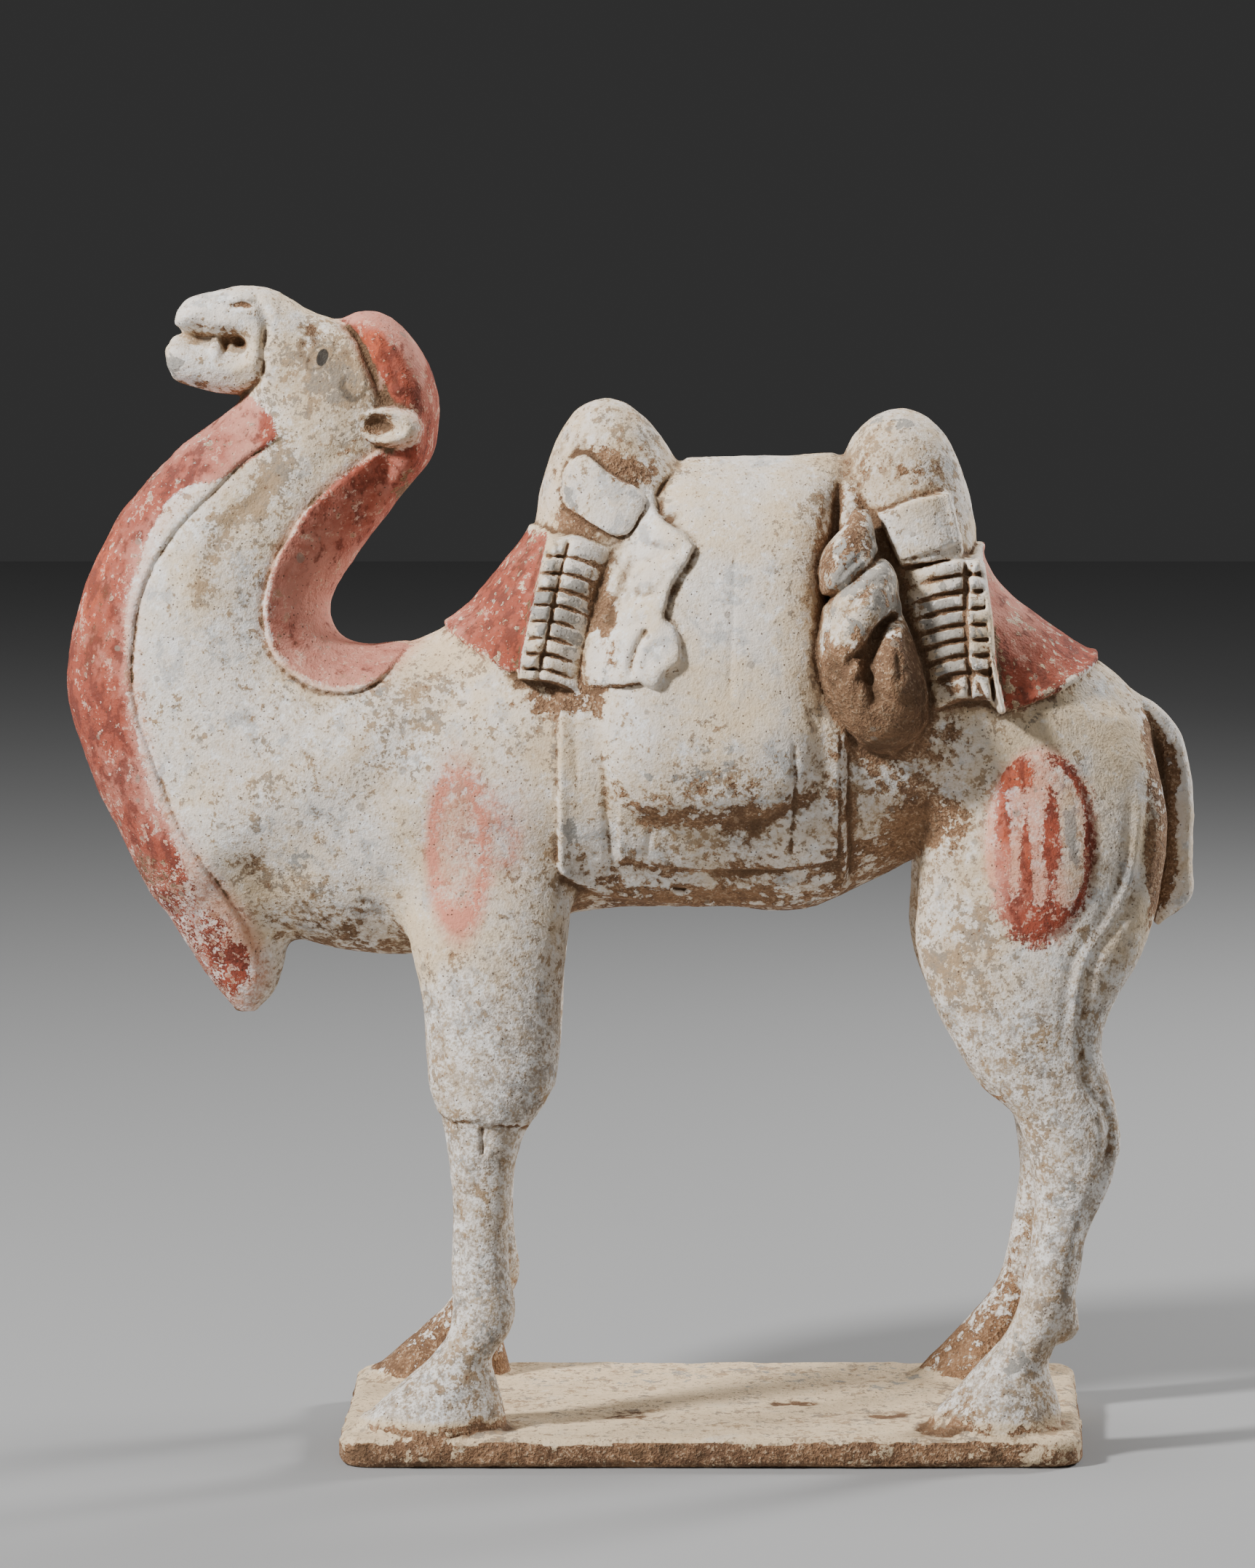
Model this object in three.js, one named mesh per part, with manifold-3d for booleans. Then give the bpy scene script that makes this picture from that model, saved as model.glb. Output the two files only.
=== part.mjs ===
// A pack camel of painted terracotta, standing on a slab base.
//
// The figure was pressed in moulds, luted together and fired as one piece, so it is one solid:
// animal, saddle load, hair, tail and base. It faces -X, its left side is at -Y, and +Z is up.
// The origin is the middle of the base's underside, seen over the whole figure's box.
import * as THREE from "three";
import { LoftGeometry } from "three/addons/geometries/LoftGeometry.js";
import { mergeVertices } from "three/addons/utils/BufferGeometryUtils.js";
import Module from "manifold-3d";

const wasm = await Module();
wasm.setup();

// Driving dimensions, in millimetres
const BASE = { left: -112, right: 184, halfDepth: 75, thickness: 12, corner: 13 };
const LEG_STANCE = 50; // from the middle plane to each foot's centre
const PAD_THICKNESS = 3.5; // of the flat pads on the humps
const FLAP_THICKNESS = 3; // of the felt under the load
const DRAPE_THICKNESS = 4.2; // of the cloth that hangs over the sack
const STACK_RELIEF = 4; // how deep the gaps between the stacked packs are
const STACK_ROOT = 22; // how far a stack reaches into the body from its face
const OVAL_RISE = 2.4; // of the muscle pads on shoulder and thigh
const MANE_RISE = 2.4; // of the band of mane on the neck
const SKIN_REACH = 110; // how far an outline is pushed sideways before the skin trims it

// How finely round forms are faceted
const SIDES = 16;
const LEG_SIDES = 10;
const LUMP_SIDES = 7;
const ROWS = 1; // rows of facets between two rings

const CLAY = new THREE.MeshStandardMaterial({ color: 0xcbbda6, roughness: 0.92, metalness: 0 });

// A closed mesh as a solid: corners merged, collapsed faces dropped, faces turned outwards.
function solid(geometry) {
  const bare = new THREE.BufferGeometry();
  bare.setAttribute("position", geometry.attributes.position);
  bare.setIndex(geometry.index);
  const merged = mergeVertices(bare, 1e-3);
  const points = merged.attributes.position.array;
  const index = merged.index.array;
  const corner = (i) => new THREE.Vector3().fromArray(points, 3 * i);
  const faces = [];
  let volume = 0;
  for (let i = 0; i < index.length; i += 3) {
    const [a, b, c] = [index[i], index[i + 1], index[i + 2]];
    if (a === b || b === c || c === a) continue;
    faces.push([a, b, c]);
    volume += corner(a).dot(corner(b).cross(corner(c)));
  }
  const outwards = volume < 0 ? faces.map(([a, b, c]) => [a, c, b]) : faces;
  const triVerts = Uint32Array.from(outwards.flat());
  return new wasm.Manifold(new wasm.Mesh({ numProp: 3, vertProperties: points, triVerts }));
}

const join = (solids) => solids.reduce((whole, next) => whole.add(next));

// A smooth row of values through a few: the same spline that carries the rings' corners.
function splineThrough(points) {
  return new THREE.CatmullRomCurve3(points, false, "catmullrom", 0.5);
}

// One ring of a form: an oval that stands square to the middle plane. Seen from the side it is the
// line from one contour point to the other; halfWidth is its reach across, about the plane y.
// A power above 2 squares the oval off.
function ringPoints(from, to, halfWidth, y, power, sides) {
  const middle = from.clone().add(to).multiplyScalar(0.5);
  const reach = to.clone().sub(from).multiplyScalar(0.5);
  const points = [];
  for (let i = 0; i < sides; i++) {
    const turn = (i / sides) * 2 * Math.PI;
    const round = (value) => Math.sign(value) * Math.abs(value) ** (2 / power);
    const along = round(Math.cos(turn));
    const across = round(Math.sin(turn));
    points.push(
      new THREE.Vector3(
        middle.x + along * reach.x,
        y + across * halfWidth,
        middle.z + along * reach.z,
      ),
    );
  }
  return points;
}

// A form skinned over rings. A ring is [x, z, x, z, halfWidth, y]: two points of the contour seen
// from the side, the half width across, and the plane it is centred on (the middle plane if left out).
// grow swells every ring by that much, for a skin that lies on the form.
function form(rings, { side = 1, power = 2, sides = SIDES, rows = ROWS, grow = 0 } = {}) {
  const swollen = rings.map(([x0, z0, x1, z1, halfWidth, y = 0]) => {
    const from = new THREE.Vector3(x0, 0, z0);
    const to = new THREE.Vector3(x1, 0, z1);
    const out = to.clone().sub(from).setLength(grow);
    return { from: from.sub(out), to: to.add(out), size: new THREE.Vector3(halfWidth + grow, side * y, 0) };
  });
  const fromLine = splineThrough(swollen.map((ring) => ring.from));
  const toLine = splineThrough(swollen.map((ring) => ring.to));
  const sizeLine = splineThrough(swollen.map((ring) => ring.size));
  const steps = (rings.length - 1) * rows;
  const sections = [];
  for (let i = 0; i <= steps; i++) {
    const at = i / steps;
    const size = sizeLine.getPoint(at);
    sections.push(ringPoints(fromLine.getPoint(at), toLine.getPoint(at), size.x, size.y, power, sides));
  }
  return solid(new LoftGeometry(facingOn(sections), { capStart: true, capEnd: true }));
}

// Rings in the order that turns a loft's walls outwards: counterclockwise, seen from its far end.
function facingOn(sections) {
  const [first, next] = sections;
  const third = Math.round(first.length / 3);
  const across = first[third].clone().sub(first[0]);
  const facing = across.cross(first[2 * third].clone().sub(first[0]));
  const onward = next[0].clone().add(next[2 * third]).add(next[third]);
  onward.sub(first[0]).sub(first[third]).sub(first[2 * third]);
  return facing.dot(onward) > 0 ? sections : sections.map((ring) => [...ring].reverse());
}

// A flat outline in the side view, pushed out sideways from the middle plane on one side (-1 is the
// camel's left), or through both sides when side is 0.
function sideways(shape, side, reach = SKIN_REACH, curveSegments = 4) {
  const depth = side === 0 ? 2 * reach : reach;
  const geometry = new THREE.ExtrudeGeometry(shape, { depth, bevelEnabled: false, curveSegments });
  geometry.rotateX(Math.PI / 2);
  if (side >= 0) geometry.translate(0, reach, 0);
  return solid(geometry);
}

const outline = (corners) => new THREE.Shape(corners.map(([x, z]) => new THREE.Vector2(x, z)));

// A closed outline whose corners are rounded off by a spline.
function softOutline(corners, steps = 2) {
  const line = new THREE.CatmullRomCurve3(
    corners.map(([x, z]) => new THREE.Vector3(x, z, 0)),
    true,
    "catmullrom",
    0.5,
  );
  return outline(line.getPoints(corners.length * steps).slice(0, -1).map((p) => [p.x, p.y]));
}

function ellipse(x, z, halfLength, halfHeight, lean = 0) {
  return new THREE.Shape().absellipse(x, z, halfLength, halfHeight, 0, 2 * Math.PI, false, lean);
}

// An egg-shaped lump with its own lean in the side view.
function lump({ x, y, z, length, width, height, lean = 0, sides = LUMP_SIDES }) {
  const geometry = new THREE.SphereGeometry(1, sides, Math.round(sides * 0.7));
  geometry.scale(length / 2, width / 2, height / 2);
  geometry.rotateY(-lean);
  geometry.translate(x, y, z);
  return solid(geometry);
}

// Rings of the animal itself
const TRUNK = [
  [-160, 232, -160, 282, 18],
  [-148, 208, -148, 304, 33],
  [-125, 201, -125, 322, 42],
  [-95, 196, -95, 328, 48],
  [-60, 200, -60, 336, 52],
  [-20, 207, -20, 344, 55],
  [30, 213, 30, 347, 56],
  [75, 217, 75, 348, 56],
  [104, 233, 104, 348, 54],
  [128, 236, 128, 346, 53],
  [150, 230, 150, 337, 52],
  [176, 214, 176, 316, 49],
  [195, 208, 195, 303, 42],
  [206, 214, 206, 288, 32],
  [212, 228, 212, 270, 16],
];
const NECK = [
  [-130, 448, -92, 436, 15],
  [-152, 416, -77, 404, 23],
  [-180, 395, -87, 382, 27],
  [-205, 366, -109, 353, 30],
  [-219, 334, -117.5, 335, 33],
  [-223.5, 302, -114, 323.5, 36],
  [-217, 273, -103, 319, 39],
  [-203.5, 244, -87.5, 320, 43],
  [-188, 214, -74, 324, 47],
  [-148, 202, -50, 335, 49],
];
const HEAD = [
  [-177.5, 449, -179, 428, 6],
  [-174, 453.5, -175, 422, 10],
  [-162, 458, -164, 418, 14],
  [-150, 459.4, -151, 414, 16],
  [-139, 457.4, -141, 406, 17],
  [-126, 450.5, -129, 398, 21],
  [-114, 445, -114, 392, 23],
  [-101, 439, -98, 390, 21],
  [-90, 430, -87, 398, 13],
];
const FRONT_HUMP = [
  [-66, 322, 34, 322, 45],
  [-50, 348, 30, 350, 36],
  [-38, 364, 28, 366, 30],
  [-34, 380, 24, 381, 26],
  [-30.5, 391.5, 18, 392, 22],
  [-26, 402, 11.5, 402, 17],
  [-20, 410.3, 4, 410.3, 11],
  [-13, 414.4, -3.5, 414.4, 5],
];
const REAR_HUMP = [
  [76, 322, 170, 322, 46],
  [80, 352, 142, 352, 36],
  [82, 366, 139.3, 366, 31],
  [84, 380, 135.8, 380, 27],
  [86, 392, 131.5, 392, 23],
  [91.5, 402, 125.5, 402, 17],
  [98, 408, 118.5, 408, 10],
  [104, 410.7, 113.5, 410.7, 5],
];
const TUFT = [
  [-200, 236, -126, 216, 30],
  [-190, 219, -132, 203, 22],
  [-176.5, 198, -137, 190, 15],
  [-163, 180.5, -142, 179, 9],
  [-156.5, 172.5, -149, 172, 4],
];
const FRONT_LEG = [
  [-84, 264, -30, 264, 13, 26],
  [-92, 242, -20, 242, 20, 28],
  [-89, 216, -20, 216, 22, 34],
  [-85, 198, -24, 198, 20.5, 39],
  [-79.5, 178, -25.5, 178, 19, 42],
  [-77.5, 158, -27.5, 158, 17.5, 44],
  [-75.5, 143, -31.5, 143, 16, 46],
  [-72.5, 134, -36.5, 134, 14, 46.5],
  [-71, 126, -42, 126, 12.5, 47],
  [-69, 112, -45, 112, 11, 47.5],
  [-68, 88, -46.5, 88, 10, 48.5],
  [-69.3, 74, -46, 74, 11, 49],
  [-69, 56, -45.3, 54, 12, 49.5],
  [-72, 45, -49, 44, 11.5, LEG_STANCE],
  [-86, 33, -52, 34, 13.5, LEG_STANCE],
  [-101, 20, -50, 22, 18, LEG_STANCE + 2],
  [-109, 8, -46, 8, 22, LEG_STANCE + 2],
];
const HIND_LEG = [
  [128, 288, 196, 288, 14, 24],
  [117, 266, 208, 268, 23, 25],
  [112.5, 242, 212, 246, 29, 26],
  [112.5, 218, 209.5, 218, 28, 29],
  [115, 196, 200, 196, 22, 36],
  [123, 179, 191.5, 181, 20, 40],
  [131.5, 161, 187, 163, 18, 42],
  [140, 144, 190, 148, 16, 44],
  [154, 132, 193.5, 133, 14.5, 46],
  [157, 118, 193, 120, 13, 47],
  [158, 100, 186, 101, 11.5, 48],
  [157, 84, 180, 84, 11, 49],
  [153.5, 68, 177.5, 67, 12, 49.5],
  [148, 53, 175.5, 52, 12.5, LEG_STANCE],
  [141, 43, 168.5, 43, 12, LEG_STANCE],
  [131, 30, 167, 32, 14, LEG_STANCE],
  [121, 19, 169.5, 20, 18.5, LEG_STANCE + 2],
  [115, 8, 173, 8, 22, LEG_STANCE + 2],
];
const TAIL = [
  [196, 298, 206, 305, 7],
  [203, 288, 214, 292, 9],
  [209, 276, 221.5, 279, 10],
  [211.5, 255, 225, 255, 11],
  [211, 230, 225, 228, 11.5],
  [209.5, 215, 224.5, 219, 11],
  [209.5, 205.5, 213, 208, 9],
];

// Rings of the load
const SACK = [
  [26, 394, 80, 394.5, 5],
  [19, 391, 84, 393, 13],
  [12, 384, 82, 386, 25],
  [6, 370, 78, 372, 39],
  [-1, 350, 76, 352, 50],
  [-8, 325, 77, 326, 59],
  [-12, 300, 80, 302, 66],
  [-13, 284, 81, 286, 70],
  [-10, 270, 78, 272, 71],
  [-4, 259, 72, 261, 67],
  [8, 251.5, 60, 253, 59],
];
const SACK_POWER = 3;
const BLANKET = { left: -27, right: 85, bottom: 219, top: 300, rim: 232, rise: 4 };

// Outlines in the side view
const FRONT_PAD = [[-20, 397], [7, 379], [-1, 361], [-26, 373]];
const REAR_PAD = [[98, 373], [126, 380], [132, 359], [105, 352]];
const FRONT_FELT = [[-80, 327], [-30, 372], [-26, 350], [-40, 311], [-62, 319]];
const REAR_FELT = [[136, 362], [194, 316], [189, 309], [168, 299], [147, 293], [138, 310]];
const DRAPE = [
  [8, 379], [-3, 360], [-11, 342], [-15, 328], [-18, 306], [2, 305],
  [5, 318], [13, 304], [20, 318], [20.5, 327], [13, 334], [18, 349], [27, 360], [14, 368],
];
const MANE_BAND = [
  [-96, 404], [-108.7, 387], [-119, 380], [-127, 371], [-133, 361.5], [-138, 352],
  [-142, 339], [-142, 327], [-138, 315], [-131, 308], [-122, 303.5], [-110, 301.5],
  [-98, 307], [-89, 316], [-81, 330], [-100, 345], [-62, 400], [-80, 412],
];

// A skin of the given thickness over everything that the load's cloths and pads lie on.
function skin(thickness) {
  return join([
    form(TRUNK, { grow: thickness }),
    form(FRONT_HUMP, { grow: thickness }),
    form(REAR_HUMP, { grow: thickness }),
  ]);
}

function panel(shape, thickness, side, under = skin(thickness)) {
  return sideways(shape, side).intersect(under);
}

const FRONT_STACK = {
  top: [-20, 363], bottom: [-33, 309], topFace: 47, bottomFace: 62, count: 9, before: 8, behind: 15,
};
const REAR_STACK = {
  top: [128, 354], bottom: [135, 297], topFace: 50, bottomFace: 63, count: 8, before: 18, behind: 8,
};

// A stack of small packs tied down by one cord: seen from the front or back its face is a comb, one
// tooth for each pack, and the cord's channel parts it in two. top and bottom are [x, z] of the cord's
// ends; the face there stands topFace and bottomFace out from the middle plane.
function packStack({ top, bottom, topFace, bottomFace, before, behind, count, side }) {
  const gap = 1.8;
  const channel = 1.4;
  const run = Math.hypot(bottom[0] - top[0], bottom[1] - top[1]);
  const lean = Math.atan2(bottom[0] - top[0], top[1] - bottom[1]);
  const slope = (bottomFace - topFace) / run;
  const pitch = run / count;
  const half = (width, centre) => {
    const profile = [[0, -STACK_ROOT], [0, 0]];
    for (let i = 1; i < count; i++) {
      const middle = i * pitch;
      profile.push([middle - gap / 2, 0], [middle - gap / 2, -STACK_RELIEF]);
      profile.push([middle + gap / 2, -STACK_RELIEF], [middle + gap / 2, 0]);
    }
    profile.push([run, 0], [run, -STACK_ROOT]);
    const comb = new THREE.ExtrudeGeometry(
      outline(profile.map(([down, out]) => [topFace + slope * down + out, -down])),
      { depth: width, bevelEnabled: false },
    );
    return comb.translate(0, 0, -width / 2).rotateY(-Math.PI / 2).translate(centre, 0, 0);
  };
  const halves = [half(before, -(before + channel) / 2), half(behind, (behind + channel) / 2)];
  return join(
    halves.map((part) => {
      part.rotateX(Math.PI / 2);
      if (side < 0) part.scale(1, -1, 1);
      return solid(part.rotateY(-lean).translate(top[0], 0, top[1]));
    }),
  );
}

// A hank of twisted silk: fat strands that cross it slantwise and a loop at its foot.
function hank(side) {
  const strand = (x, z, length, height, lean, y = 57, width = 26) =>
    lump({ x, z, y: side * y, length, height, width, lean });
  return join([
    strand(88, 358, 40, 22, 0.75, 42, 36),
    strand(91, 341, 42, 22, 0.8, 50, 30),
    strand(87, 315, 64, 20, 1.2),
    strand(103, 306, 54, 23, 1.75, 58, 30),
    strand(97, 288, 30, 22, 0.6, 57, 28),
  ]);
}

function ear(side) {
  const place = { x: -92.5, y: side * 24, z: 406, lean: -0.12 };
  const leaf = lump({ ...place, length: 25, width: 12, height: 17 });
  const hollow = lump({ ...place, x: -93, y: side * 29, length: 18, width: 9, height: 10 });
  return leaf.subtract(hollow);
}

// The open mouth: a lens cut through the lips, with the teeth left standing inside it.
function mouthCut() {
  const gap = softOutline([[-186, 439], [-172, 443], [-155, 443], [-147, 437], [-155, 431], [-172, 432]]);
  const teeth = sideways(outline([[-174, 429], [-174, 446], [-145, 446], [-145, 429]]), 0, 8);
  return sideways(gap, 0).subtract(teeth);
}

function base() {
  const { left, right, halfDepth, thickness, corner } = BASE;
  const plan = new THREE.Shape();
  plan.moveTo(left + corner, -halfDepth);
  plan.lineTo(right - corner, -halfDepth);
  plan.quadraticCurveTo(right, -halfDepth, right, -halfDepth + corner);
  plan.lineTo(right, halfDepth - corner);
  plan.quadraticCurveTo(right, halfDepth, right - corner, halfDepth);
  plan.lineTo(left + corner, halfDepth);
  plan.quadraticCurveTo(left, halfDepth, left, halfDepth - corner);
  plan.lineTo(left, -halfDepth + corner);
  plan.quadraticCurveTo(left, -halfDepth, left + corner, -halfDepth);
  const bevel = 2;
  return solid(
    new THREE.ExtrudeGeometry(plan, {
      depth: thickness - bevel,
      bevelThickness: bevel,
      bevelSize: bevel,
      bevelOffset: -bevel,
      bevelSegments: 1,
      curveSegments: 4,
    }),
  );
}

function animal() {
  const tail = form(TAIL, { sides: 10, power: 3 });
  const body = join([form(TRUNK), form(NECK), form(HEAD), form(FRONT_HUMP), form(REAR_HUMP), form(TUFT), tail]);
  return body.subtract(mouthCut());
}

function load(side) {
  const sackSkin = join([skin(DRAPE_THICKNESS), form(SACK, { power: SACK_POWER, grow: DRAPE_THICKNESS })]);
  return join([
    panel(softOutline(FRONT_PAD), PAD_THICKNESS, side),
    panel(outline(REAR_PAD), PAD_THICKNESS, side),
    panel(outline(FRONT_FELT), FLAP_THICKNESS, side),
    panel(outline(REAR_FELT), FLAP_THICKNESS, side),
    panel(outline(DRAPE), DRAPE_THICKNESS, side, sackSkin),
    packStack({ ...FRONT_STACK, side }),
    packStack({ ...REAR_STACK, side }),
    hank(side),
  ]);
}

function blanket() {
  const { left, right, bottom, top, rim, rise } = BLANKET;
  const cloth = outline([[left, bottom], [right, bottom - 2], [right, top], [left, top]]);
  return sideways(cloth, 0).intersect(form(TRUNK, { grow: rise, power: 2.2 })).add(
    sideways(outline([[left + 20, rim], [right, rim], [right, top], [left + 20, top]]), 0).intersect(
      form(TRUNK, { grow: rise + 2, power: 2.2 }),
    ),
  );
}

function legs(side) {
  const sideLegs = [FRONT_LEG, HIND_LEG].map((rings) => form(rings, { side, sides: LEG_SIDES }));
  const spur = lump({ x: 171, y: side * LEG_STANCE, z: 53, length: 14, width: 11, height: 12 });
  return join([...sideLegs, spur]);
}

function muscles(side) {
  const reachSkin = join([
    form(TRUNK, { grow: OVAL_RISE }),
    form(FRONT_LEG, { side, grow: OVAL_RISE, sides: LEG_SIDES }),
    form(HIND_LEG, { side, grow: OVAL_RISE, sides: LEG_SIDES }),
  ]);
  return join([
    sideways(ellipse(161, 243, 22, 38), side).intersect(reachSkin),
    sideways(ellipse(-64, 241, 13, 33), side).intersect(reachSkin),
  ]);
}

function mane(side) {
  return sideways(softOutline(MANE_BAND, 1), side).intersect(form(NECK, { grow: MANE_RISE }));
}

// The crest rolls from the forehead over the back of the skull.
function crest() {
  return form(
    [
      [-113, 447, -108, 438, 7],
      [-103, 451, -101, 430, 15],
      [-89, 444, -100, 424, 19],
      [-78, 428, -98, 414, 21],
      [-74, 409, -96, 404, 21],
      [-79, 390, -97, 396, 19],
    ],
    { sides: 12 },
  );
}

const parts = [animal(), form(SACK, { power: SACK_POWER }), blanket(), base(), crest()];
for (const side of [-1, 1]) {
  parts.push(legs(side), load(side), muscles(side), mane(side), ear(side));
}
// Where skins meet they can shut in a crumb of air: only the outer surface is kept.
const whole = join(parts)
  .decompose()
  .reduce((largest, next) => (next.volume() > largest.volume() ? next : largest));

const { vertProperties, triVerts } = whole.getMesh();
const geometry = new THREE.BufferGeometry();
geometry.setAttribute("position", new THREE.BufferAttribute(vertProperties, 3));
geometry.setIndex(new THREE.BufferAttribute(triVerts, 1));
geometry.computeBoundingBox();
const box = geometry.boundingBox;
geometry.translate(-(box.min.x + box.max.x) / 2, -(box.min.y + box.max.y) / 2, -box.min.z);

const camel = new THREE.Mesh(geometry, CLAY);
camel.name = "camel_figure";
const figure = new THREE.Group();
figure.add(camel);
export default figure;
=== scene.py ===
"""A pack camel of painted terracotta on its slab: one fired piece with worn slip and cold paint.

The clay's shape is built as a field of distances to its surface, in millimetres. Forms are lofted
through oval rings and melted together, the load and the relief are laid on them, and the surface is
meshed once. The paint is a node material that reads a few fields stored on the mesh.
The camel faces -X, its left side is at -Y, and both sides are alike but for wear.
"""
import math

import bpy
import numpy as np
import openvdb as vdb
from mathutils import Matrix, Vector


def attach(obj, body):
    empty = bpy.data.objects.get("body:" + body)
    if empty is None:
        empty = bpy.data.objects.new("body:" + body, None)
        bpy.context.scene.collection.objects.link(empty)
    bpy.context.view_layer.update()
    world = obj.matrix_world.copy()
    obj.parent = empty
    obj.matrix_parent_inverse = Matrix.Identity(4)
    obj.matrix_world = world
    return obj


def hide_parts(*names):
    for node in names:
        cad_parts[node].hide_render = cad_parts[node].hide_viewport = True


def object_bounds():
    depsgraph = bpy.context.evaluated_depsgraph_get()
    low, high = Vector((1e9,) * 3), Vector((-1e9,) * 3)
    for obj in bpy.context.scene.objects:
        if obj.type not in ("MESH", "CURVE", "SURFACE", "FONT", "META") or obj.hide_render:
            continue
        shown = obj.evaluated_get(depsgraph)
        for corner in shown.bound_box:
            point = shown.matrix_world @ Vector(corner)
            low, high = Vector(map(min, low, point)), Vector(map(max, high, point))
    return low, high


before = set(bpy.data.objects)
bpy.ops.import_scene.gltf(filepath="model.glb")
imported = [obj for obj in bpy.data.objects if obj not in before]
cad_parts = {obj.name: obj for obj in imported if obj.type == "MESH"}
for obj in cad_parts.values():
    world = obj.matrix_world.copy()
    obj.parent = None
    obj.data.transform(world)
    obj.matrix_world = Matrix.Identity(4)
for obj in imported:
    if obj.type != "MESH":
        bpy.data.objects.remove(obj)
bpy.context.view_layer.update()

# The field: only the left half is kept, and the right half is its mirror image
VOXEL = 0.8
REACH = 16.0  # distances are true this far from a surface
FIELD_LOW = np.array([-231.2, -88.0, -4.0])
FIELD_HIGH = np.array([231.2, 0.0, 468.0])
SHAPE = tuple(int(round(n)) for n in (FIELD_HIGH - FIELD_LOW) / VOXEL)
AXES = [low + VOXEL * (np.arange(n, dtype=np.float32) + 0.5) for low, n in zip(FIELD_LOW, SHAPE)]
SIDE_X = AXES[0][:, None]
SIDE_Z = AXES[2][None, :]
RING_STEPS = 8  # steps along a form from one of its rings to the next
FACES_WANTED = 196_000

# The slab: its near edge runs further left than its far one
BASE_NEAR = (-113.5, 177.5)  # left and right ends of the edge at -Y
BASE_FAR = (-110.5, 185.0)
BASE_HALF_DEPTH = 75.0
BASE_TOP = 12.0
BASE_FAR_RISE = 3.5  # the slab is this much thicker along its far edge
BASE_CORNER = 13.0
BASE_EDGE = 4.2  # rounding of its upper and lower edges
BASE_FILLET = 3.0  # between the slab and the feet
STANCE = 50.0  # from the middle plane to each foot's centre

# Rings of the animal. A ring is x, z, x, z, half width: two points of the contour seen from the side
# and the half width across. A sixth number is the y that it is centred on, where that isn't 0.
TRUNK = [
    (-164, 236, -162, 278, 14), (-152, 210, -152, 300, 30), (-128, 199.5, -128, 305.5, 41),
    (-95, 194, -95, 311, 47), (-60, 199, -60, 325, 51), (-20, 211, -20, 342, 54),
    (30, 213.5, 30, 347, 55), (75, 213.5, 75, 348, 55), (100, 225, 100, 348, 53),
    (128, 236, 128, 345, 52), (150, 228, 150, 333.5, 51), (176, 214, 176, 318, 48),
    (192, 209, 192, 308, 41), (205, 215, 205, 293, 30), (212, 232, 212, 268, 12),
]
NECK = [
    (-128, 446, -95, 434, 14), (-151.5, 416, -77, 404, 22), (-179, 394, -87.5, 382, 26),
    (-203.5, 365, -109.5, 353, 29), (-217.5, 333.5, -119, 335, 32), (-222, 302, -116, 322, 35),
    (-215.5, 273.5, -104, 316.5, 38), (-202, 244.5, -88, 317.5, 42), (-184.5, 217, -74, 320.5, 45),
    (-160, 218, -62, 320, 44), (-125, 232, -52, 311, 34), (-95, 250, -62, 290, 20),
]
SKULL = [
    (-150, 456, -150, 414, 13), (-144, 457.5, -145, 408, 17), (-136, 456, -138, 402, 19),
    (-126, 450.5, -129, 396, 21), (-114, 445.5, -116, 390, 22.5), (-103, 441, -100, 388, 21.5),
    (-92, 432, -90, 392, 17),
]
UPPER_JAW = [
    (-177.8, 450.5, -177.6, 444.5, 9), (-174.5, 454.5, -175, 441.5, 12.5), (-163, 458.2, -164, 438, 15),
    (-152, 459.6, -153, 436, 16.5), (-143, 458.5, -144, 432, 16), (-138, 456.5, -139, 430, 15),
]
LOWER_JAW = [
    (-182.3, 435, -181.5, 427, 7.5), (-179.5, 439.5, -179.5, 423.3, 11), (-168, 440, -169, 419.4, 13.5),
    (-157, 440, -158, 417.3, 14.5), (-148, 440, -149, 417.8, 14.5), (-142, 440, -143, 421, 13),
]
CREST = [
    (-115, 446, -110, 440, 5), (-105.5, 449.8, -104, 434, 15), (-96.5, 448.7, -101, 425, 20),
    (-87, 441.5, -99, 417, 22), (-79.5, 430.5, -98, 409, 23), (-75.2, 417, -97, 403, 23),
    (-75, 405, -97, 397, 22.5), (-78.6, 393, -96, 390, 21), (-86, 383, -99, 381, 16),
    (-95, 375, -103, 374, 10),
]
FRONT_HUMP = [
    (-52, 280, 20, 280, 30), (-73, 318, 34, 318, 43), (-60.5, 334, 33, 334, 41),
    (-48.5, 349, 31, 349, 37), (-37.6, 364, 29, 366, 31), (-35, 379, 25.5, 380, 27),
    (-31.6, 391, 19, 391.5, 23), (-27, 402, 12, 402, 18), (-20, 411, 4.4, 410, 11),
    (-14, 414.2, -2, 414.2, 6.5), (-9.5, 415.4, -6.5, 415.4, 2),
]
REAR_HUMP = [
    (94, 276, 158, 276, 30), (78, 318, 165, 312, 43), (79, 338, 147, 336.5, 40),
    (79.5, 352, 139.5, 352, 37), (81.5, 366, 138, 366, 32), (83.5, 380, 135, 380, 28),
    (86, 392, 131, 392, 24), (91, 402, 125.5, 402, 18), (98, 408.4, 118.5, 408.2, 11),
    (103.5, 410.6, 114, 410.4, 6.5), (107.5, 411.4, 110.5, 411.4, 2),
]
TUFT = [
    (-200, 262, -120, 236, 34), (-196, 241, -126, 216, 29), (-187.5, 220.5, -134, 202, 21),
    (-175.3, 198, -137.5, 188, 13), (-162.6, 179.5, -142, 177.5, 8), (-156.3, 171, -148.5, 171, 4),
]
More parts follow.
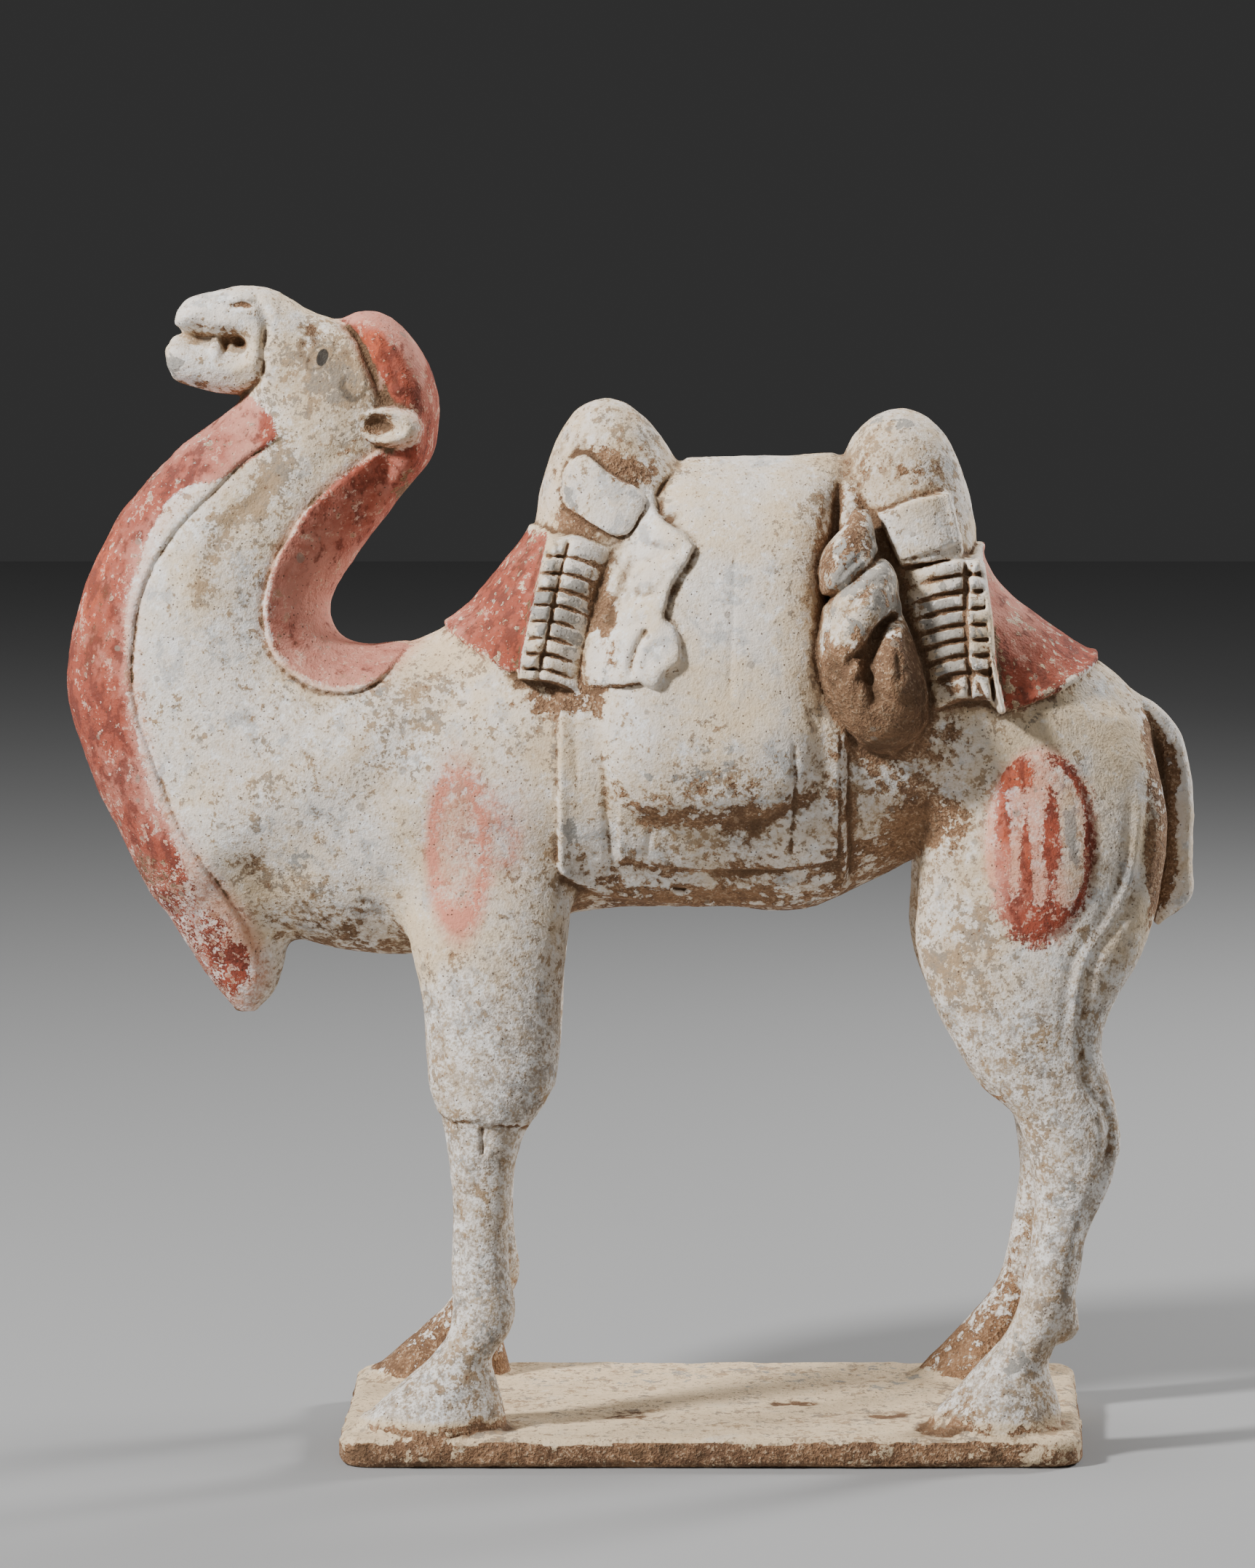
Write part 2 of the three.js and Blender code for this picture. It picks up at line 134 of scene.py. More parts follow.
FRONT_LEG = [
    (-84, 264, -30, 264, 13, -26), (-92, 240, -21, 240, 20, -29), (-88, 216, -22, 216, 22, -34),
    (-84.5, 198, -24, 198, 20.5, -39), (-80, 178, -26.3, 178, 19, -42),
    (-78, 158, -28.2, 158, 17.5, -44), (-76.6, 147, -30.4, 146, 16.5, -45.5),
    (-73.8, 138.5, -34.8, 138, 15, -46.5), (-72.4, 131, -39.3, 130, 13, -47),
    (-70.4, 117, -43.6, 117, 11.5, -47.5), (-68.6, 101, -45.8, 101, 10.5, -48),
    (-68.8, 86, -46.7, 86, 10, -48.5), (-69.5, 72, -46.2, 72, 10.5, -49),
    (-69.2, 58, -44.4, 57, 11.5, -49.5), (-71, 48.5, -46.8, 49.5, 11.5, -STANCE),
    (-77.8, 40.5, -53.2, 40.5, 12.5, -STANCE), (-88.6, 31, -51.6, 31, 15.5, -STANCE - 0.5),
    (-97, 24.5, -49.6, 23, 18.5, -STANCE - 1), (-106.8, 15.5, -48, 15, 21.5, -STANCE - 1.5),
    (-112.5, 6, -47.5, 6, 23.5, -STANCE - 1.5),
]
HIND_LEG = [
    (128, 288, 196, 288, 14, -24), (117, 266, 208, 268, 23, -25), (115, 242, 212.3, 246, 28, -27),
    (114.3, 220, 210, 222, 27, -30), (114, 200, 203, 199, 22.5, -36), (119, 182, 193, 182, 20, -40),
    (126.5, 166.5, 187, 167, 18, -42), (132.3, 156.6, 187, 157, 17, -43),
    (139.2, 146.5, 190, 147, 16.3, -44), (151.3, 136, 193, 134, 15, -45.5),
    (156.8, 124, 193.9, 123, 13.5, -46.5), (159, 112, 190.6, 112, 12.5, -47.5),
    (160, 100, 185.8, 100, 11.5, -48), (158.8, 86, 180.5, 86, 11, -49),
    (156, 72, 177.6, 72, 11.5, -49.5), (153, 58, 174, 58, 12, -STANCE), (148, 48, 169, 47, 12, -STANCE),
    (139, 38, 165.9, 37.5, 13.5, -STANCE), (129, 27, 168.8, 27, 17, -STANCE - 0.5),
    (120.5, 18, 171.2, 18, 20, -STANCE - 1), (114.5, 9, 172.7, 9, 22, -STANCE - 1.5),
]
TAIL = [
    (193, 293, 200, 299, 5), (201, 288.5, 210, 294, 8), (207.5, 280, 218.8, 284.6, 9.5),
    (210.5, 268, 223.6, 270.5, 10.5), (211.5, 250, 225, 251, 11), (211.3, 232, 225, 231, 11.5),
    (210.5, 218, 224.4, 217, 11.5), (209.8, 206, 212.5, 206.8, 10),
]

# Rings of the load: its sack, the cloth between the sack and the rear hump, and the twisted hank
SACK = [
    (24, 391.8, 82, 393.3, 4), (18, 388.5, 85, 391, 12), (11, 381, 85, 384, 25),
    (5, 368, 82.5, 371, 38), (-2, 350, 81, 352, 49), (-11, 325, 82.5, 326, 58), (-18, 302, 84, 303, 64),
    (-19.5, 286, 85, 287, 67.5), (-17.5, 272, 84, 274, 68), (-12, 261, 80.5, 263, 65.5),
    (0, 252.5, 70, 254, 58), (16, 248, 54, 249, 48),
]
GAP_CLOTH = [
    (78, 336, 102, 336, 40), (79, 352, 100, 352, 38), (80, 366, 97, 366, 31), (81, 378, 94, 378, 23),
    (82, 386, 91, 386, 14), (84, 391.5, 88, 391.5, 5),
]
HANK = [
    (88.5, 373.5, 94.5, 373.5, 3, -38), (84, 367, 96.2, 367, 9, -40), (77, 357.5, 98, 358, 13.5, -42.5),
    (75.3, 349, 104.8, 349, 17, -44.5), (76.6, 340, 106, 340, 19, -46), (76, 332, 107.5, 332, 20, -47),
    (74.6, 322, 111.5, 322, 21.5, -48.5), (74.7, 311, 115.2, 311, 23, -49.5),
    (78, 301, 117.3, 300, 23, -50), (83, 291.5, 117, 291.5, 21.5, -50),
    (90, 283, 112, 284.5, 16.5, -49.5), (96, 278.6, 104, 278.8, 7, -48),
]


def ramp(low, high, value):
    """0 up to low, 1 from high on and smooth between them. low can be the larger one."""
    t = np.clip((value - low) / (high - low), 0, 1)
    return t * t * (3 - 2 * t)


def bell(value, middle, width):
    """1 where a value is the middle one, falling to 0 on both sides of it."""
    return np.exp(-(((value - middle) / width) ** 2))


def shifted(points, dx, dz=0.0):
    return [(x + dx, z + dz) for x, z in points]


def spline(rows, steps, closed=False):
    """Rows along the smooth curve through the given rows, spaced by the length between them."""
    rows = np.asarray(rows, float)
    if closed:
        rows = np.vstack([rows[-1:], rows, rows[:2]])
    gaps = np.maximum(np.linalg.norm(np.diff(rows, axis=0), axis=1), 1e-6)[:, None]
    slopes = np.diff(rows, axis=0) / gaps
    tangents = np.empty_like(rows)
    tangents[0], tangents[-1] = slopes[0], slopes[-1]
    tangents[1:-1] = (slopes[:-1] * gaps[1:] + slopes[1:] * gaps[:-1]) / (gaps[1:] + gaps[:-1])
    t = np.arange(steps)[None, :, None] / steps
    start, end = rows[:-1, None], rows[1:, None]
    pull_start, pull_end = tangents[:-1, None] * gaps[:, None], tangents[1:, None] * gaps[:, None]
    curve = (
        (2 * t**3 - 3 * t**2 + 1) * start
        + (t**3 - 2 * t**2 + t) * pull_start
        + (3 * t**2 - 2 * t**3) * end
        + (t**3 - t**2) * pull_end
    ).reshape(-1, rows.shape[1])
    if closed:
        return curve[steps:-steps]
    return np.vstack([curve, rows[-1:]])


def window(low, high):
    """The block of the field within REACH of a form."""
    first = np.floor((np.asarray(low) - REACH - FIELD_LOW) / VOXEL).astype(int)
    last = np.ceil((np.asarray(high) + REACH - FIELD_LOW) / VOXEL).astype(int)
    return tuple(slice(max(int(a), 0), min(int(b), n)) for a, b, n in zip(first, last, SHAPE))


def loft(rings, power=2.0, sides=56):
    """Distances to the skin over a row of rings, and the block of the field they fill."""
    rows = spline([(*ring, 0)[:6] for ring in rings], RING_STEPS)
    turn = np.linspace(0, 2 * math.pi, sides, endpoint=False)
    along, across = np.cos(turn), np.sin(turn)
    along = np.sign(along) * np.abs(along) ** (2 / power)
    across = np.sign(across) * np.abs(across) ** (2 / power)
    middle = (rows[:, 0:2] + rows[:, 2:4]) / 2
    reach = (rows[:, 2:4] - rows[:, 0:2]) / 2
    points = np.empty((len(rows), sides, 3))
    points[:, :, 0] = middle[:, :1] + reach[:, :1] * along
    points[:, :, 1] = rows[:, 5:6] + rows[:, 4:5] * across
    points[:, :, 2] = middle[:, 1:] + reach[:, 1:] * along
    index = np.arange(len(rows) * sides).reshape(len(rows), sides)
    right = np.roll(index, -1, axis=1)
    quads = np.stack([index[:-1], right[:-1], right[1:], index[1:]], axis=-1).reshape(-1, 4)
    hubs = np.array([points[0].mean(0), points[-1].mean(0)])
    first_hub = index.size
    caps = [np.stack([np.full(sides, first_hub + i), ring, ring_next], axis=1)
            for i, (ring, ring_next) in enumerate([(index[0], right[0]), (right[-1], index[-1])])]
    vertices = np.vstack([points.reshape(-1, 3), hubs])
    block = window(vertices.min(0), vertices.max(0))
    grid = vdb.FloatGrid.createLevelSetFromPolygons(
        points=((vertices - FIELD_LOW) / VOXEL - 0.5).astype(np.float32),
        triangles=np.vstack(caps).astype(np.uint32),
        quads=quads.astype(np.uint32),
        halfWidth=REACH / VOXEL,
    )
    distances = np.empty([s.stop - s.start for s in block], np.float32)
    grid.copyToArray(distances, ijk=tuple(s.start for s in block))
    return block, distances * VOXEL


def block_axes(block):
    x, y, z = (axis[s] for axis, s in zip(AXES, block))
    return x[:, None, None], y[None, :, None], z[None, None, :]


def egg(centre, radii, lean=0.0):
    """Distances to an egg-shaped lump. lean turns it in the side view."""
    centre, radii = np.asarray(centre, float), np.asarray(radii, float)
    block = window(centre - radii.max(), centre + radii.max())
    x, y, z = (a - c for a, c in zip(block_axes(block), centre))
    x, z = x * math.cos(lean) + z * math.sin(lean), z * math.cos(lean) - x * math.sin(lean)
    near = np.sqrt((x / radii[0]) ** 2 + (y / radii[1]) ** 2 + (z / radii[2]) ** 2)
    steep = np.sqrt((x / radii[0] ** 2) ** 2 + (y / radii[1] ** 2) ** 2 + (z / radii[2] ** 2) ** 2)
    return block, (near * (near - 1) / np.maximum(steep, 1e-6)).astype(np.float32)


def smooth_min(a, b, fillet):
    """The nearer of two distances, blended where they are alike and both within REACH."""
    overlap = np.maximum(fillet - np.abs(a - b), 0)
    near = np.clip((REACH - np.maximum(a, b)) / 2, 0, 1)
    return np.minimum(a, b) - near * overlap * overlap / (4 * fillet)


def melt(field, form, fillet=1.0):
    """Joins a form to the clay with a fillet."""
    block, distances = form
    field[block] = smooth_min(field[block], distances, fillet)


def carve(field, form, fillet=1.0):
    """Takes a form out of the clay."""
    block, distances = form
    field[block] = -smooth_min(-field[block], distances, fillet)


def outline_distance(corners, x=SIDE_X, z=SIDE_Z):
    """Signed distance to a closed outline in the side view, negative inside."""
    corners = np.asarray(corners, float)
    nearest = np.full(np.broadcast(x, z).shape, 1e9, np.float32)
    inside = np.zeros(nearest.shape, bool)
    for (x0, z0), (x1, z1) in zip(corners, np.roll(corners, -1, axis=0)):
        dx, dz = x1 - x0, z1 - z0
        along = np.clip(((x - x0) * dx + (z - z0) * dz) / max(dx * dx + dz * dz, 1e-9), 0, 1)
        np.minimum(nearest, (x - x0 - along * dx) ** 2 + (z - z0 - along * dz) ** 2, out=nearest)
        if dz:
            crosses = (z0 <= z) != (z1 <= z)
            inside ^= crosses & (x < x0 + (z - z0) * dx / dz)
    return np.where(inside, -1, 1) * np.sqrt(nearest)


def line_distance(points, x=SIDE_X, z=SIDE_Z):
    """Distance to an open line in the side view, and how far along it the nearest point is."""
    points = np.asarray(points, float)
    lengths = np.linalg.norm(np.diff(points, axis=0), axis=1)
    ends = np.concatenate([[0], np.cumsum(lengths)]) / lengths.sum()
    shape = np.broadcast(x, z).shape
    nearest, where = np.full(shape, 1e9, np.float32), np.zeros(shape, np.float32)
    for (x0, z0), (x1, z1), start, end in zip(points[:-1], points[1:], ends[:-1], ends[1:]):
        dx, dz = x1 - x0, z1 - z0
        along = np.clip(((x - x0) * dx + (z - z0) * dz) / (dx * dx + dz * dz), 0, 1)
        gap = (x - x0 - along * dx) ** 2 + (z - z0 - along * dz) ** 2
        closer = gap < nearest
        nearest = np.where(closer, gap, nearest)
        where = np.where(closer, start + along * (end - start), where)
    return np.sqrt(nearest), where


def x_along(line, z=SIDE_Z):
    """The x of a line that runs down the side view, at heights z."""
    heights_up = [(height, x) for x, height in line[::-1]]
    return np.interp(z, *zip(*heights_up))


def oval_reach(oval, x=SIDE_X, z=SIDE_Z):
    """0 at the centre of an oval in the side view, 1 on its edge. An oval is x, z and half sizes."""
    at_x, at_z, half_width, half_height = oval
    return np.hypot((x - at_x) / half_width, (z - at_z) / half_height)


def animal():
    """The camel without its load."""
    field = np.full(SHAPE, REACH, np.float32)
    for rings, fillet in ((TRUNK, 1), (NECK, 12), (FRONT_HUMP, 10), (REAR_HUMP, 10)):
        melt(field, loft(rings), fillet)
    for leg in (FRONT_LEG, HIND_LEG):
        melt(field, loft(leg, sides=40), 9)
    melt(field, loft(TUFT), 8)
    melt(field, loft(SKULL), 6)
    for jaw in (UPPER_JAW, LOWER_JAW):
        melt(field, loft(jaw, power=2.3), 3)
    melt(field, loft(CREST), 2.5)
    melt(field, loft(TAIL, power=3), 2.5)
    return field


def base(x, y, z):
    """Distances to the slab, an uneven rounded plate."""
    far = (y + BASE_HALF_DEPTH) / (2 * BASE_HALF_DEPTH)
    left = BASE_NEAR[0] + (BASE_FAR[0] - BASE_NEAR[0]) * far
    right = BASE_NEAR[1] + (BASE_FAR[1] - BASE_NEAR[1]) * far
    over_x = np.abs(x - (right + left) / 2) - ((right - left) / 2 - BASE_CORNER)
    over_y = np.abs(y) - (BASE_HALF_DEPTH - BASE_CORNER)
    plan = np.hypot(np.maximum(over_x, 0), np.maximum(over_y, 0)) - BASE_CORNER
    plan = plan + np.minimum(np.maximum(over_x, over_y), 0)
    top = BASE_TOP + BASE_FAR_RISE * ramp(0.3, 1.0, far)
    over_plan = plan + BASE_EDGE
    over_z = np.abs(z - top / 2) - top / 2 + BASE_EDGE
    plate = np.hypot(np.maximum(over_plan, 0), np.maximum(over_z, 0)) - BASE_EDGE
    return (plate + np.minimum(np.maximum(over_plan, over_z), 0)).astype(np.float32)


def with_slab(field):
    """Both halves of the clay, on the slab."""
    whole = np.concatenate([field, field[:, ::-1]], axis=1)
    floor = slice(0, int((BASE_TOP + 2 * REACH - FIELD_LOW[2]) / VOXEL))
    whole_y = np.concatenate([AXES[1], -AXES[1][::-1]])
    slab = base(AXES[0][:, None, None], whole_y[None, :, None], AXES[2][None, None, floor])
    whole[:, :, floor] = smooth_min(whole[:, :, floor], slab, BASE_FILLET)
    return whole


def mesh_of(whole):
    """The surface of the clay as corners in millimetres and four-sided faces."""
    grid = vdb.FloatGrid(REACH)
    grid.copyFromArray(whole)
    corners, faces = grid.convertToQuads(0.0)
    return (corners + 0.5) * VOXEL + FIELD_LOW, faces


def blurred(values, reach):
    """A box blur over a block of voxels, reach voxels to each side."""
    for axis in range(3):
        ends = [(0, 0)] * 3
        ends[axis] = (reach + 1, reach)
        sums = np.cumsum(np.pad(values, ends, mode="edge"), axis=axis, dtype=np.float64)
        count = values.shape[axis]
        values = (
            np.take(sums, range(2 * reach + 1, 2 * reach + 1 + count), axis)
            - np.take(sums, range(count), axis)
        ).astype(np.float32) / (2 * reach + 1)
    return values


def cell_corners(low, part):
    """The eight corners of cells, with their weights for points that lie a part of the way across."""
    for corner in range(8):
        step = np.array([corner & 1, corner >> 1 & 1, corner >> 2])
        yield low + step, np.prod(np.where(step, part, 1 - part), axis=1)


def depth_of_hollows(whole, points, reach):
    """How far points on the surface lie in hollows: 0 on even ground, up to 1, below 0 on edges."""
    half = whole[:, : SHAPE[1]]
    around = blurred(np.clip(0.5 - half / (2 * VOXEL), 0, 1), reach)
    place = np.stack([points[:, 0], -np.abs(points[:, 1]), points[:, 2]], axis=1)
    place = np.clip((place - FIELD_LOW) / VOXEL - 0.5, 0, np.array(SHAPE) - 1.01)
    low = place.astype(int)
    total = np.zeros(len(points))
    for at, weight in cell_corners(low, place - low):
        total += weight * around[at[:, 0], at[:, 1], at[:, 2]]
    return 2 * total - 1


def placed(name, data):
    """A new object in the scene."""
    item = bpy.data.objects.new(name, data)
    bpy.context.scene.collection.objects.link(item)
    return item


def add_object(name, corners, faces):
    """A smooth piece from corners in millimetres and four-sided faces."""
    mesh = bpy.data.meshes.new(name)
    mesh.vertices.add(len(corners))
    mesh.vertices.foreach_set("co", (corners / 1000).astype(np.float32).ravel())
    mesh.loops.add(faces.size)
    mesh.loops.foreach_set("vertex_index", faces.astype(np.int32).ravel())
    mesh.polygons.add(len(faces))
    mesh.polygons.foreach_set("loop_start", np.arange(0, faces.size, 4, dtype=np.int32))
    mesh.update(calc_edges=True)
    return placed(name, mesh)


def thin_out(piece, wanted):
    """Merges faces where the surface is plain until about the wanted number is left."""
    modifier = piece.modifiers.new("thin", "DECIMATE")
    modifier.ratio = wanted / (2 * len(piece.data.polygons))
    graph = bpy.context.evaluated_depsgraph_get()
    thinned = bpy.data.meshes.new_from_object(piece.evaluated_get(graph))
    piece.modifiers.clear()
    old = piece.data
    piece.data = thinned
    bpy.data.meshes.remove(old)
    thinned.name = piece.name


# Outlines and lines of the relief, as x, z seen from the side. A groove is its points, how deep and
# how wide it is and, if that isn't the usual share, how much of it fades at each end. One with a depth
# below 0 is a ridge.
THROAT_LINE = [
    (-136, 401), (-149.7, 392.7), (-162.3, 380.2), (-175, 367.6), (-185.9, 351.9), (-191.7, 337.8),
    (-194.6, 320), (-195.4, 309.4), (-193.5, 293.7), (-188.1, 277.8), (-182, 260.6), (-175.7, 246.4),
    (-168, 233.8), (-158.7, 219.3), (-150.7, 205.2), (-147, 192.4),
]
NECK_FURROW = [(-135.6, 389.7), (-145.1, 377.1), (-156, 366.3), (-164.1, 350.5), (-166.4, 339.4)]
BACK_MANE = [
    (-90, 402), (-99.9, 394), (-108.7, 387.2), (-118.2, 380), (-126.8, 371.2), (-132.9, 361.7),
    (-138.1, 352.3), (-142, 339), (-142.5, 328), (-138.3, 315), (-131.7, 308.4), (-122.8, 303.2),
    (-111.1, 301.2), (-103.1, 303.2), (-95.9, 307.8), (-89.8, 315), (-85.5, 321.6), (-80.3, 327.6),
    (-76, 345), (-60, 380), (-62, 400),
]
CREST_LINE = [
    (-114.5, 447), (-113.7, 446.3), (-109.1, 443.2), (-104.6, 436), (-101.2, 428), (-98.4, 420.5),
    (-96.5, 414),
]
FRONT_CLOTH = [
    (-81, 331), (-74.5, 327.5), (-63.2, 319.8), (-54, 314.5), (-46.2, 309.9), (-38, 312), (-30, 345),
    (-28.5, 362), (-41, 366),
]
REAR_CLOTH = [
    (135, 350), (137.5, 357), (144, 360), (190, 322), (186, 312.5), (180, 308), (170.8, 303),
    (160.6, 299), (152, 296.5), (145, 295.2), (140, 300),
]
FRONT_PAD = [
    (-17, 394.5), (-13.5, 392.4), (-9.2, 388.4), (-2.1, 383.9), (5.7, 378.9), (7.1, 376.1),
    (4.3, 369.7), (0.7, 364), (-3.5, 362.6), (-10.6, 365.4), (-19.1, 370.4), (-24.1, 373.2),
    (-25.9, 378.2), (-25.5, 385.3), (-22.7, 391.6),
]
REAR_PAD = [
    (98, 371.3), (111.7, 376.6), (126.3, 379.6), (129.2, 369.3), (132, 357.1), (131.6, 353.6),
    (118.3, 352.8), (107, 351.2), (102.1, 362),
]
REAR_PAD_EDGE = [(124, 383), (127.2, 383), (132.6, 356), (129.4, 356)]
DRAPE = [
    (9.2, 378.4), (12, 371.7), (17.6, 366.8), (26.1, 359.7), (23.3, 353.3), (18.4, 346.3),
    (14.8, 336.4), (14.1, 332.1), (18.4, 327.9), (20.5, 320.8), (19.8, 315.1), (14.1, 310.9),
    (10.6, 305.4), (4.8, 307.5), (-1, 306.2), (-6.4, 306), (-14.9, 306.2), (-16, 309.4), (-14.8, 320.8),
    (-11.3, 333.5), (-6.4, 349.1), (-0.7, 360.4), (2.8, 367.5), (6.4, 376.9),
]
DRAPE_FOLDS = [
    ([(3, 356), (7, 354.5), (12, 355.5), (19, 358)], 0.9, 1.9, 0.3),
    ([(0, 343), (7, 341.5), (14, 344)], 0.9, 1.9, 0.3),
    ([(-9, 331), (-2, 328.5), (6, 331), (13, 332)], 0.9, 1.9, 0.3),
    ([(7, 309), (8, 317), (12, 324)], 0.9, 1.9, 0.3),
    ([(26, 360), (17, 358.5), (9, 361), (5, 365)], 0.9, 1.9, 0.3),
    ([(8.5, 329), (4.7, 322.5), (2, 316), (1.2, 308)], 2.2, 1.5, 0.12),
]
BLANKET = [
    (-26.6, 330), (-27.2, 234), (-25.6, 230), (-19, 225.6), (-9.3, 220), (27.8, 215), (70.6, 215),
    (83, 219), (87, 223.5), (86.6, 240), (85.5, 256), (85, 330),
]
BLANKET_PANEL = [(-4.5, 330), (-3.3, 235.5), (27.9, 231.8), (63.7, 232.3), (82.5, 235.5), (82.5, 330)]
CLOTH_GROOVES = [
    ([(-9.2, 285), (-9, 270.4), (-6.7, 235.7), (-6, 226)], 1.1, 1.5),
    ([(-20.5, 298), (-20, 264)], 0.6, 1),
    ([(18.5, 224.2), (22.5, 223.6)], 3, 1.3, 0),
]
SACK_FOLDS = [
    ([(41.8, 356.5), (41.4, 340), (40.3, 320), (39.6, 298.6)], 0.5, 1),
    ([(64.7, 285.3), (65.4, 262.9), (64.6, 250), (63.4, 236.5)], 0.9, 1),
    ([(69.8, 296.6), (74, 287.3)], 0.9, 1),
    ([(8.9, 248.5), (6.9, 237.7)], 0.8, 1),
    ([(21, 389), (15, 383), (11, 377)], 1.2, 1),
]
HANK_CREASES = [
    ([(88, 370), (83.2, 367), (78.4, 363), (75, 360)], 2, 2.4),
    ([(100.5, 357.5), (94.5, 352.5), (89, 348.2), (84, 343.6), (79.5, 339.5), (75.5, 335.5)], 4, 2.5),
    ([(94.5, 358), (89, 354.4), (84.5, 350.5), (81, 346)], 1.2, 1.3),
    ([(107, 335.5), (102.2, 332), (98.2, 327.6), (95.6, 321.6), (93.6, 315.4), (93.6, 309.2),
      (95.4, 303.6), (97, 297)], 5.0, 3.0),
    ([(101.5, 333.5), (95.5, 327.5), (91.5, 322), (88, 317.5), (84, 313)], 2.2, 2),
    ([(98, 349), (92, 342.5), (85, 335), (79.5, 327)], 0.9, 1.4),
    ([(90, 311), (88.2, 304), (89, 296)], 1.1, 1.6),
    ([(105.8, 327), (104.5, 318), (105.5, 309)], 0.9, 1.4),
]
HANK_HOLLOW = [
    (103, 334), (96, 330), (87.5, 318.5), (90.5, 311), (95, 302), (97.2, 309), (98, 321), (101, 329),
]
HANK_STRANDS = [
    ([(92, 372), (87, 363), (82, 353), (78.5, 343)], -1.6, 4, 0.3),
    ([(101.5, 350), (95, 341), (86.5, 331), (79.5, 320), (79, 308)], -2.2, 4.6, 0.3),
]
HANK_BULB = [
    (106.6, 331), (102.3, 327), (99.2, 322.1), (97.3, 315.7), (97, 308.4), (98.5, 301.1), (102, 295.4),
    (108, 292.5), (114, 294.5), (117, 301), (115.6, 310), (113.6, 317.3), (110.2, 324.6),
]
# Each stack of packs: the heights of the bars' edges, then lines from top to bottom. Its bars droop
# and sink into the body on one side of the cord, 1 for towards +X and -1 for towards -X.
FRONT_STACK = {
    "edges": [362.5, 354.8, 348.5, 342.3, 336.3, 330.1, 323.8, 317.6, 311.8, 307.3],
    "cord": [(-22.2, 363.3), (-24.8, 353.5), (-27.6, 342.1), (-29.6, 332.2), (-32.2, 322.3), (-34.6, 309)],
    "left": [(-31.4, 363.2), (-33.6, 353.3), (-36.4, 340.6), (-39, 329.3), (-41.4, 317.9), (-42.6, 309)],
    "right": [(-5.5, 361), (-8.5, 350.4), (-12, 340.5), (-14.6, 330.6), (-17, 320.6), (-19, 308)],
    "sinks": 1,
}
REAR_STACK = {
    "edges": [354.1, 348, 341.5, 335.1, 329, 323.3, 317.3, 310.8, 299.8],
    "cord": [(132, 354.1), (132.3, 341.5), (132.5, 329), (132.7, 317.3), (133.4, 299)],
    "left": [(107.5, 356), (109.1, 343), (110, 330), (113.6, 316.2), (116.6, 300)],
    "right": [(138.6, 354), (139.4, 345.6), (140, 337.5), (141, 325.4), (141.4, 313.2), (141.8, 299)],
    "sinks": -1,
}
STACK_PLATE = [
    (139.3, 350.5), (139.9, 345.6), (140.6, 337.5), (141.6, 325.4), (142.2, 313.2), (145.8, 295.8),
]
THIGH_OVAL = (161.2, 243.2, 21.5, 37.5)  # x, z and half sizes
THIGH_FURROW = [
    (203.5, 272), (203.2, 250.7), (200.6, 232.1), (194.2, 216.6), (180.8, 197), (177.6, 174.8),
    (177.4, 160), (179.4, 149), (183.2, 143.2), (186.3, 138), (187.6, 129.8), (187.2, 120.2),
    (183.4, 108.7), (180.2, 98), (176.5, 86), (173.5, 74), (171, 62),
]
MUZZLE_BAND = [
    (-151, 458.8), (-145.8, 454.3), (-142.6, 448), (-142, 441), (-143.2, 434.5), (-143.2, 428),
    (-144.8, 423), (-149.5, 419.5), (-154, 414),
]
MOUTH = [
    (-177.5, 442.4), (-172.5, 445.5), (-168, 446.2), (-163.5, 443.6), (-159, 443.8), (-153.5, 442.6),
    (-149.8, 439.5), (-148.4, 435.4), (-150.4, 431.4), (-155, 429.4), (-160.4, 430.4), (-165, 432.8),
    (-170, 434.4), (-176, 436.4), (-181, 438.6),
]
CUFF_EDGE = [
    (-84, 144), (-76, 139), (-72.8, 135.6), (-67.1, 134.6), (-60.5, 135.6), (-53.8, 133.8),
    (-46.2, 133.2), (-38.6, 132.2), (-33.9, 138), (-29, 146),
]
HIP_GROOVES = [
    (shifted(THIGH_FURROW, 0.8), 1.5, 2.4, 0.12),
    (shifted(THIGH_FURROW[:7], -6.5), 0.9, 2.6, 0.2),
    (shifted(THIGH_FURROW[:13], -3), -0.5, 2.4, 0.15),
]
LEG_GROOVES = [
    ([(-56.9, 133), (-56.6, 121)], 1.7, 0.9),
    ([(-54.5, 133), (-54.5, 123)], 0.8, 1.2),
    ([(-48.5, 96), (-49.5, 84), (-49.5, 70), (-48, 60)], 0.5, 1.6, 0.3),
    ([(-73, 45.7), (-86.3, 34.1), (-98.7, 21.6), (-105.5, 12)], 1.5, 1.8, 0.2),
    ([(145.7, 40.9), (141.9, 36), (134.4, 26.4), (126.8, 20), (120, 13)], 1.5, 1.8, 0.2),
]
HEAD_GROOVES = [
    ([(-129, 439), (-122, 440.6), (-115, 435)], -0.4, 2.4, 0.3),  # brow
    (MUZZLE_BAND, 1.6, 1.7, 0.15),
    (shifted(MUZZLE_BAND, -4.2), -0.8, 2.8, 0.25),
    ([(-156, 455.2), (-151, 456), (-146.5, 453.4)], -0.5, 1, 0.2),  # rim over the nostril
    ([(-168.5, 449.4), (-164, 448.2), (-158, 445.9)], 0.7, 0.7, 0.2),  # lip
    (CREST_LINE, 1.3, 1.1, 0.25),
    (shifted(CREST_LINE, -3.4, -1.4), -0.9, 1.9, 0.1),
    ([(-108, 404), (-112, 397), (-119, 391), (-128, 390)], 0.7, 2.6, 0.3),  # jaw
    ([(-97, 441), (-93, 431), (-88, 420)], 0.7, 1.6, 0.3),  # between the locks of the crest
]
